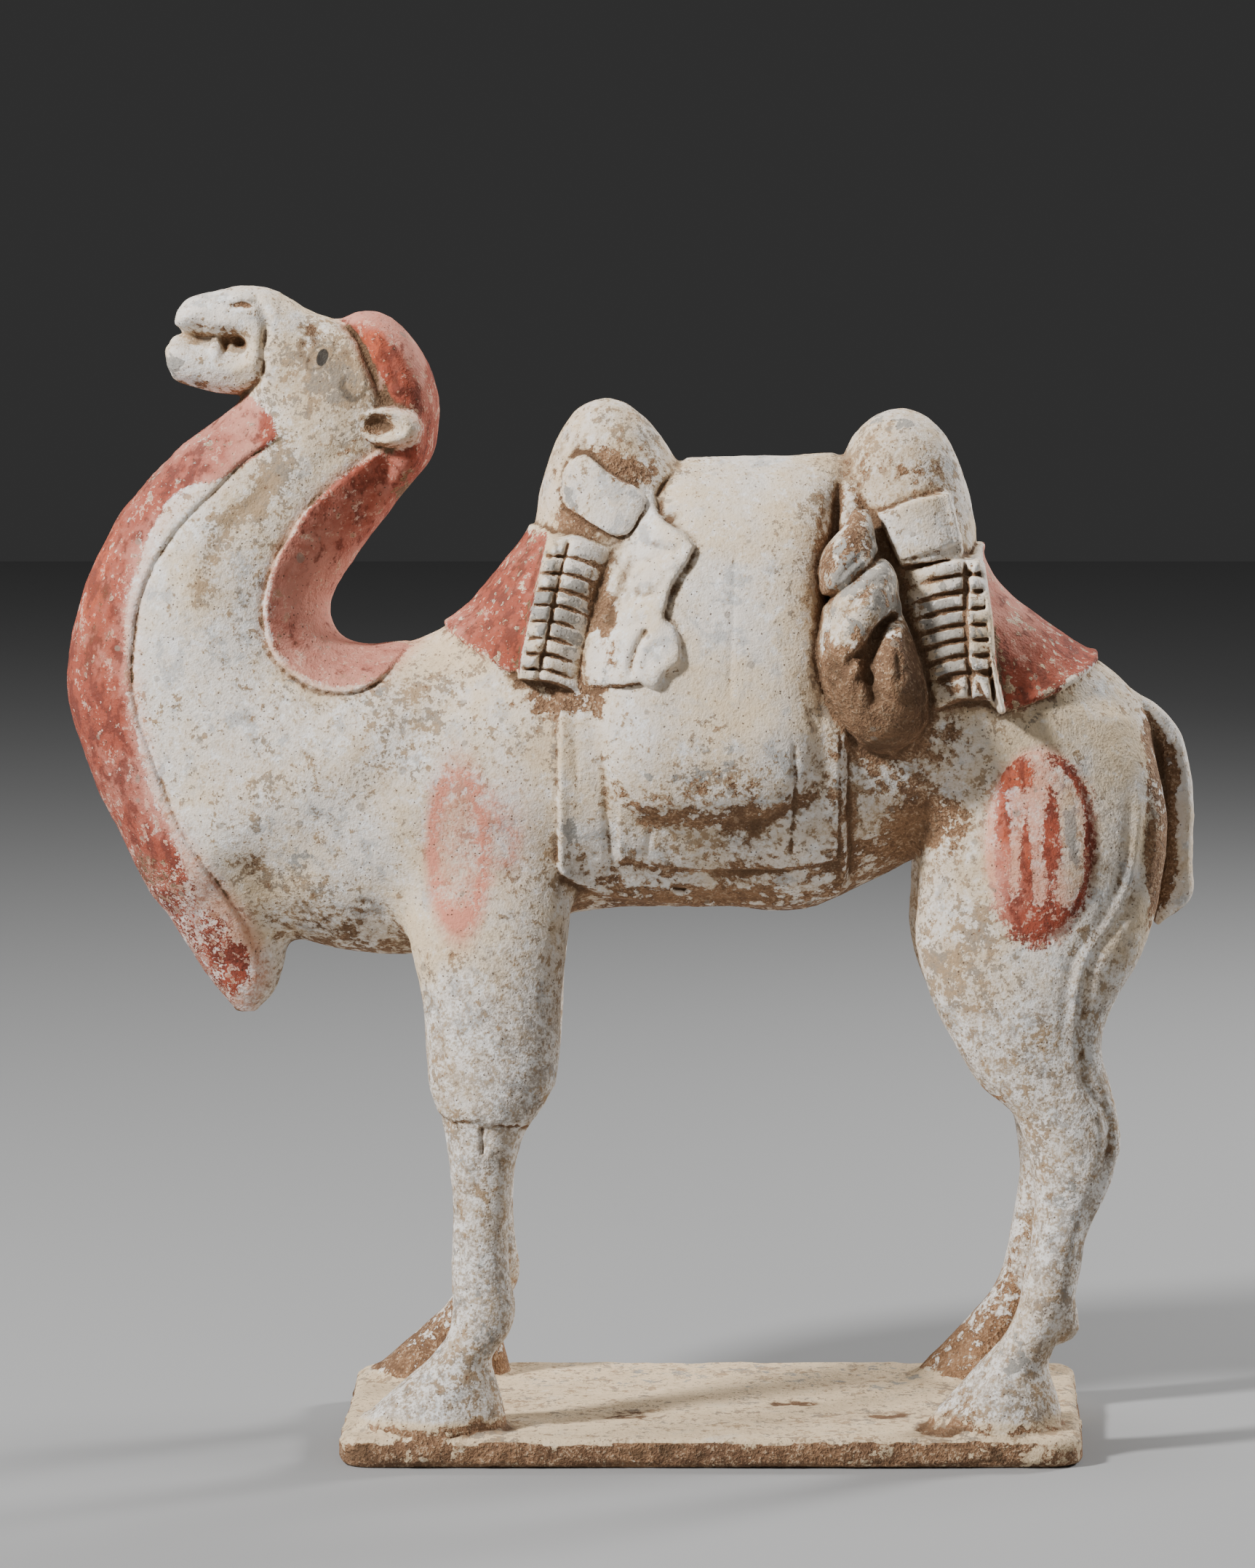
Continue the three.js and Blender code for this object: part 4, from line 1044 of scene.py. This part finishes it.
def store_wear(mesh):
    """Stores on the corners of the mesh what its paint, slip, dirt and painted shade depend on."""
    skin = Skin(mesh)
    x, z = skin.x, skin.z
    cover, fray = paint_cover(x, z, skin.lie)
    # Painted shade on the downward faces under the chest and neck, laid with the soil in the hollows
    under = ramp(0.2, 0.85, -skin.up) * ramp(250, 230, z) * (z > 60)
    hollow = skin.hollow * (1 - 0.65 * spot(x, z, *MOUTH_KEPT_LIGHT))
    hollow += 0.35 * skin.hank * ramp(322, 300, z) + 0.25 * under * ramp(-40, -50, x)
    ash = 0.85 * ramp(228, 165, z) * (1 - skin.on_base) + 0.5 * skin.hank * ramp(312, 335, z)
    cream = 0.3 + 0.25 * skin.lumps(46, 23) + 0.4 * skin.nook + skin.on_base
    store(mesh, {
        "clay": clay_shown(skin),
        "stain": stained(skin),
        "grey": greyed(skin),
        "ash": ash + skin.spots(ASH_SPOTS),
        "cream": cream + skin.spots(CREAM_SPOTS) - 0.5 * ramp(220, 150, z) * (z > 20),
        "blush": blushed(skin),
        "hollow": np.clip(hollow, 0, 1),
        "paint": cover + 0.7 * fray * skin.lumps(12, 24) - 1.2 * skin.far,
        "fray": fray,
        "tone": paint_tone(x, z) + 0.15 * skin.lumps(18, 25),
        "glow": spots(x, z, GLOW_SPOTS),
    })


# Lumps and hollows of the animal: centre, radii and lean
HEELS = [((169.5, 1 - STANCE, 56), (7.6, 7.7, 11)), ((173, 1 - STANCE, 51.6), (4.4, 3.08, 4.4))]
EAR = ((-92.4, -21, 405.2), (12.6, 10.8, 8.2), -0.06)
EAR_OPENING = ((-95.2, -34.6, 405.6), (10, 9, 6.4), -0.06)
EAR_CHANNEL = ((-98.8, -29.5, 405.6), (7.2, 8.8, 5.4), -0.2)


def build_camel():
    field = animal()
    for relief, inner, outer in (
        (neck_relief() + cloth_relief(), -1, 0),
        (head_relief(), 3, 8),
        (leg_relief(), 20, 30),
        (hip_relief(), 30, 40),
    ):
        field -= at_side(relief, inner, outer)
    for heel in HEELS:
        melt(field, egg(*heel), 2)
    melt(field, loft(SACK, power=4, sides=72), 3)
    melt(field, loft(GAP_CLOTH, power=2.5), 3)
    field -= at_side(load_relief(), 10, 20)
    block, hank = loft(HANK, power=2.2)
    hank -= at_side(hank_relief(), 30, 40)[block]
    melt(field, (block, hank), 1.5)
    melt(field, egg(*EAR), 2)
    carve(field, egg(*EAR_OPENING), 1.5)
    carve(field, egg(*EAR_CHANNEL), 2)
    whole = with_slab(field)
    corners, faces = mesh_of(whole)
    piece = add_object("camel", make_uneven(corners, faces), faces)
    thin_out(piece, FACES_WANTED)
    store_hollows(piece.data, whole)
    store_wear(piece.data)
    return piece


class Value:
    """A number or a place inside a material, to add to, subtract from and multiply."""

    def __init__(self, shading, socket):
        self.shading, self.socket = shading, socket

    def __add__(self, other):
        return self.shading.math("ADD", self, other)

    def __sub__(self, other):
        return self.shading.math("SUBTRACT", self, other)

    def __rsub__(self, other):
        return self.shading.math("SUBTRACT", other, self)

    def __mul__(self, other):
        return self.shading.math("MULTIPLY", self, other)

    __radd__, __rmul__ = __add__, __mul__


class Shading:
    """Short ways to add the nodes of a material. What goes in can be a number, a tuple or a Value."""

    def __init__(self, name):
        self.material = bpy.data.materials.new(name)
        self.material.use_nodes = True
        self.tree = self.material.node_tree
        self.place = self.node("TexCoord", "Object")

    def feed(self, socket, value):
        if isinstance(value, Value):
            self.tree.links.new(value.socket, socket)
        elif isinstance(value, tuple) and socket.type == "RGBA":
            socket.default_value = (*value, 1)
        else:
            socket.default_value = value

    def nodes(self, kind, results, settings=None, **inputs):
        """Values of the named results of a new node. An input is named, or i and its number."""
        node = self.tree.nodes.new("ShaderNode" + kind)
        for key, value in (settings or {}).items():
            setattr(node, key, value)
        for key, value in inputs.items():
            self.feed(node.inputs[int(key[1:]) if key[1:].isdigit() else key], value)
        return [Value(self, node.outputs[result]) for result in results]

    def node(self, kind, result, settings=None, **inputs):
        return self.nodes(kind, [result], settings, **inputs)[0]

    def math(self, operation, a, b=0.0, c=0.0):
        return self.node("Math", 0, {"operation": operation}, i0=a, i1=b, i2=c)

    def vector(self, operation, a, b=(0, 0, 0), c=(0, 0, 0), result=0):
        return self.node("VectorMath", result, {"operation": operation}, i0=a, i1=b, i2=c)

    def step(self, value, low, high):
        """0 below low, 1 above high, smooth between them."""
        return self.node("MapRange", 0, {"interpolation_type": "SMOOTHSTEP"}, i0=value, i1=low, i2=high)

    def blend(self, share, a, b):
        return self.node("Mix", 2, {"data_type": "RGBA"}, i0=share, i6=a, i7=b)

    def field(self, name):
        return self.node("Attribute", "Fac", {"attribute_name": name})

    def noise(self, size, detail, rough, shift=0.0, at=None):
        """Noise mostly from -1 to 1 in patches of a size in millimetres."""
        place = at or self.place
        if shift:
            place = self.vector("ADD", place, (shift, 1.7 * shift, -shift))
        value = self.node("TexNoise", "Fac", Vector=place, Scale=1000 / size, Detail=detail,
                          Roughness=rough)
        return self.math("MULTIPLY_ADD", value, 6.0, -3.0)

    def bent(self, size, reach):
        """The place shifted at random by some millimetres, so that patches get ragged outlines."""
        shift = self.node("TexNoise", "Color", Vector=self.place, Scale=1000 / size, Detail=2.0)
        shift = self.vector("SUBTRACT", shift, (0.5, 0.5, 0.5))
        return self.vector("MULTIPLY_ADD", shift, (reach / 500,) * 3, self.place)

    def specks(self, at, size, radius, share):
        """Round specks: size is their spacing and radius their reach, share how many cells have one."""
        distance, colour = self.nodes("TexVoronoi", ["Distance", "Color"], Vector=at, Scale=1000 / size)
        pick = self.node("SeparateColor", 0, Color=colour)
        reach = self.step(pick, 1 - share, 1.0) * (radius / size)
        return self.step(reach - distance, 0.0, 0.25 * radius / size)

    def mark(self, at, x, z, wide, high, lean=0.0):
        """1 within an oval in the side view, with a ragged edge. Sizes in millimetres."""
        place = self.vector("SUBTRACT", at, (x / 1000, 0, z / 1000))
        if lean:
            place = self.node("VectorRotate", 0, {"rotation_type": "Y_AXIS"}, Vector=place, Angle=lean)
        place = self.vector("MULTIPLY", place, (1000 / wide, 0, 1000 / high))
        return self.step(self.vector("LENGTH", place, result="Value"), 1.12, 0.88)


# Colours of the clay, its slip and paint
CLAY = (0.34, 0.19, 0.10)
CLAY_DARK = (0.17, 0.092, 0.05)
CLAY_PALE = (0.55, 0.40, 0.265)
WHITE_SLIP = (0.76, 0.69, 0.61)
CREAM_SLIP = (0.74, 0.575, 0.375)
COOL_SLIP = (0.45, 0.445, 0.43)
CHALK = (0.86, 0.85, 0.83)
ASH = (0.33, 0.285, 0.245)
DUST = (0.50, 0.37, 0.235)
STAIN = (0.38, 0.255, 0.145)
GREY_SLIP = (0.36, 0.34, 0.305)
DARK_GREY = (0.22, 0.205, 0.18)
BRICK = (0.31, 0.056, 0.028)
DEEP_RED = (0.13, 0.024, 0.015)
PINK = (0.58, 0.25, 0.185)
BLUSH = (0.68, 0.26, 0.175)
ORANGE_RED = (0.52, 0.095, 0.036)
RUBBED = (0.74, 0.46, 0.35)
# Dark brown for the soil in the hollows, which also serves as painted shade there and under the chest
SOIL_AND_SHADE = (0.11, 0.062, 0.032)
GREY_BROWN = (0.27, 0.22, 0.17)
SPECK = (0.085, 0.053, 0.034)
INK = (0.03, 0.027, 0.024)

# The eye and the line on the cheek, drawn in ink: x, z, half width, half height and lean
PUPIL = (-119.9, 432.2, 2.3, 3.6, -0.3)
EYE = (-120.6, 432.6, 7.2, 3.9, 0.74)
EYE_INSIDE_LINE = (-120.6, 432.6, 6.2, 3, 0.74)
CHEEK = (-107.8, 420.6, 5.6, 5.8)
CHEEK_INSIDE_LINE = (-107, 423.4, 3.6, 6)


def slip_colour(s, clouds, patches, blots, islands, flakes, crumbs):
    """The slip: white to cream, smudged grey and chalky, dusty and with flakes of tan clay showing."""
    cream, ash, stain = s.field("cream"), s.field("ash"), s.field("stain")
    creamy = s.step(cream + 0.42 * clouds + 0.08 * flakes, 0.0, 1.0)
    slip = s.blend(creamy, WHITE_SLIP, CREAM_SLIP)
    smudge = s.step(blots - 0.5 * clouds + 0.25 * flakes, 0.35, 1.0)
    slip = s.blend(smudge * (0.75 - 0.6 * creamy), slip, COOL_SLIP)
    chalky = s.step(-0.8 * islands - 0.5 * flakes - 0.2 * crumbs - 0.6 * cream, 0.15, 0.6)
    slip = s.blend(chalky * (0.6 - 0.3 * creamy), slip, CHALK)
    ashen = s.step(0.6 * flakes + 0.8 * crumbs + 0.5 * islands + ash, 0.2, 1.5)
    slip = s.blend(ashen * ash, slip, ASH)
    dusty = s.step(stain + 0.12 * clouds - 0.14 * blots + 0.1 * flakes, 0.1, 0.9)
    slip = s.blend(0.72 * dusty, slip, DUST)
    grime = s.step(stain + 0.55 * flakes + 0.6 * crumbs, 0.25, 1.2)
    slip = s.blend(0.75 * grime, slip, DUST)
    chips = stain + 0.26 * patches + 0.25 * islands + 0.3 * flakes + 0.16 * crumbs
    tan = s.blend(s.step(blots + 0.5 * crumbs, -0.6, 0.8), STAIN, GREY_BROWN)
    return s.blend(0.85 * s.step(chips, 0.5, 0.58), slip, tan)


def paint_colour(s, clouds, brushed, islands, flakes, crumbs):
    """The red paint: brick red to pink, with darker and rubbed strokes."""
    pale = s.step(s.field("tone") + 0.16 * clouds + 0.2 * islands, 0.05, 0.95)
    red = s.blend(pale, BRICK, PINK)
    glow = s.step(s.field("glow") + 0.3 * flakes, 0.1, 0.9)
    red = s.blend(0.85 * glow, red, ORANGE_RED)
    dark = s.step(brushed + 0.5 * flakes - 0.8 * pale, -0.2, 0.6)
    red = s.blend(0.75 * dark, red, DEEP_RED)
    rubbed = s.step(-0.8 * brushed + 0.7 * flakes + 0.5 * crumbs, 0.5, 1.1)
    return s.blend(0.6 * rubbed, red, RUBBED)


def ink_lines(s, at):
    """How strong the ink is in the eye and on the cheek."""
    pupil, eye, cheek = s.mark(at, *PUPIL), s.mark(at, *EYE), s.mark(at, *CHEEK)
    lid_line = 0.5 * (eye - s.mark(at, *EYE_INSIDE_LINE))
    cheek_line = 0.6 * (cheek - s.mark(at, *CHEEK_INSIDE_LINE))
    ink = pupil
    for line in (lid_line, cheek_line, 0.1 * eye):
        ink = s.math("MAXIMUM", ink, line)
    return ink


def clay_material():
    s = Shading("painted terracotta")
    ragged, crumbled = s.bent(9, 2.2), s.bent(2.4, 0.5)
    strokes = s.vector("MULTIPLY", ragged, (1, 1, 0.45))
    patches = s.noise(15, 5, 0.62, at=ragged)
    islands = s.noise(6.5, 4, 0.62, 3.1, ragged)
    flakes = s.noise(3, 4, 0.62, 1.3)
    crumbs = s.noise(1.1, 2, 0.6, 2.2)
    clouds = s.noise(30, 3, 0.6, 5.2)
    blots = s.noise(11, 4, 0.62, 7.7, ragged)
    brushed = s.noise(7, 4, 0.6, 4.4, strokes)

    # The slip, thin and brown beside its losses, with grey where it is rubbed
    slip_lost = s.field("clay") + 0.14 * patches + 0.16 * islands + 0.17 * flakes
    bare = s.step(slip_lost, 0.0, 0.035)
    slip = slip_colour(s, clouds, patches, blots, islands, flakes, crumbs)
    thin = s.step(slip_lost + 0.08 * crumbs, -0.16, 0.02)
    slip = s.blend(0.5 * thin, slip, STAIN)
    grey = s.blend(s.step(flakes + crumbs, -1.0, 1.2), DARK_GREY, GREY_SLIP)
    greyed = s.step(s.field("grey") + 0.24 * blots + 0.1 * flakes, 0.0, 0.04)
    surface = s.blend(0.8 * greyed, slip, grey)

    # Cold paint over the slip, flaked and frayed
    blush = s.field("blush") * s.step(clouds + flakes + crumbs, -3.2, 0.6)
    surface = s.blend(blush, surface, BLUSH)
    loss = 0.9 * patches + 1.2 * islands + 1.7 * flakes + crumbs
    fray = s.field("fray")
    cover = s.step(s.field("paint") + loss * fray, -0.5, 0.6)
    flecks = s.step(islands + 1.1 * flakes + 0.7 * fray, 1.35, 1.48)
    cover = cover * (1.0 - 0.9 * flecks)
    red = paint_colour(s, clouds, brushed, islands, flakes, crumbs)
    surface = s.blend(0.96 * cover, surface, red)

    # Bare clay, then soil and painted shade in the hollows and under the chest, chips, specks and the ink
    body = s.blend(s.step(clouds + 1.2 * flakes + 0.8 * crumbs, -1.5, 1.4), CLAY_DARK, CLAY)
    body = s.blend(0.7 * s.step(flakes + crumbs, 0.4, 1.3), body, CLAY_PALE)
    surface = s.blend(bare, surface, body)
    # Soil and painted shade: dark brown in the hollows and on the downward faces under the chest and neck
    soil_and_shade = s.step(1.35 * s.field("hollow") + 0.14 * flakes + 0.1 * islands, 0.08, 0.85)
    surface = s.blend(0.8 * soil_and_shade, surface, SOIL_AND_SHADE)
    surface = s.blend(0.6 * s.specks(ragged, 8, 2, 0.35), surface, GREY_BROWN)
    surface = s.blend(0.85 * s.specks(crumbled, 1.8, 0.42, 0.85), surface, SPECK)
    surface = s.blend(0.95 * ink_lines(s, crumbled), surface, INK)

    grit = bare * (0.22 * flakes + 0.18 * crumbs)
    height = grit - 0.4 * bare + 0.1 * flakes + 0.08 * crumbs + 0.1 * cover
    shader = s.tree.nodes["Principled BSDF"]
    s.feed(shader.inputs["Base Color"], surface)
    s.feed(shader.inputs["Roughness"], 0.88 + 0.05 * flakes)
    s.feed(shader.inputs["Specular IOR Level"], 0.28)
    s.feed(shader.inputs["Normal"], s.node("Bump", 0, Strength=0.8, Distance=0.001, Height=height))
    return s.material


# The studio, in metres. The camera has the photo's long lens and looks slightly down.
CAMERA_DISTANCE = 2.6
CAMERA_PITCH = math.radians(5.3)
CAMERA_AIM = (0, 0, 0.262)
LENS = 149.8
LIGHTS_AIM = (0, 0, 0.24)
LIGHTS = [  # name, place, size and watts
    ("key", (-1.8, -1.15, 1.8), 0.35, 122),
    ("fill", (0.5, -2.5, 1.2), 1.2, 6),
    ("rim", (1.7, 1.1, 1.1), 0.5, 50),
    ("top", (0.2, 0.3, 2.2), 0.8, 16),
]
FLOOR_REACH = 6.0
FLOOR_GREY = 0.32
ROOM_LIGHT = 0.035


def add_camera():
    data = bpy.data.cameras.new("camera")
    data.lens = LENS
    data.sensor_width = 36
    data.clip_end = 50
    camera = placed("camera", data)
    away = (0, -CAMERA_DISTANCE * math.cos(CAMERA_PITCH), CAMERA_DISTANCE * math.sin(CAMERA_PITCH))
    camera.location = np.add(CAMERA_AIM, away)
    camera.rotation_euler = (math.pi / 2 - CAMERA_PITCH, 0, 0)
    bpy.context.scene.camera = camera


def add_light(name, location, size, power):
    data = bpy.data.lights.new(name, "AREA")
    data.shape = "DISK"
    data.size = size
    data.energy = power
    light = placed(name, data)
    light.location = location
    x, y, z = np.subtract(LIGHTS_AIM, location)
    light.rotation_euler = (math.atan2(math.hypot(x, y), -z), 0, math.atan2(y, x) - math.pi / 2)


def add_floor():
    mesh = bpy.data.meshes.new("floor")
    reach, low = FLOOR_REACH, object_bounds()[0][2]
    corners = [(-reach, -reach, low), (reach, -reach, low), (reach, reach, low), (-reach, reach, low)]
    mesh.from_pydata(corners, [], [(0, 1, 2, 3)])
    floor = placed("floor", mesh)
    material = bpy.data.materials.new("pale floor")
    material.use_nodes = True
    shader = material.node_tree.nodes["Principled BSDF"]
    shader.inputs["Base Color"].default_value = (FLOOR_GREY, FLOOR_GREY, FLOOR_GREY, 1)
    shader.inputs["Roughness"].default_value = 0.7
    mesh.materials.append(material)


def add_world():
    world = bpy.data.worlds.new("studio")
    world.use_nodes = True
    background = world.node_tree.nodes["Background"]
    background.inputs["Color"].default_value = (1, 1, 1, 1)
    background.inputs["Strength"].default_value = ROOM_LIGHT
    bpy.context.scene.world = world


camel = build_camel()
camel.data.materials.append(clay_material())
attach(camel, "root")
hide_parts("camel_figure")
add_camera()
add_floor()
add_world()
for light in LIGHTS:
    add_light(*light)
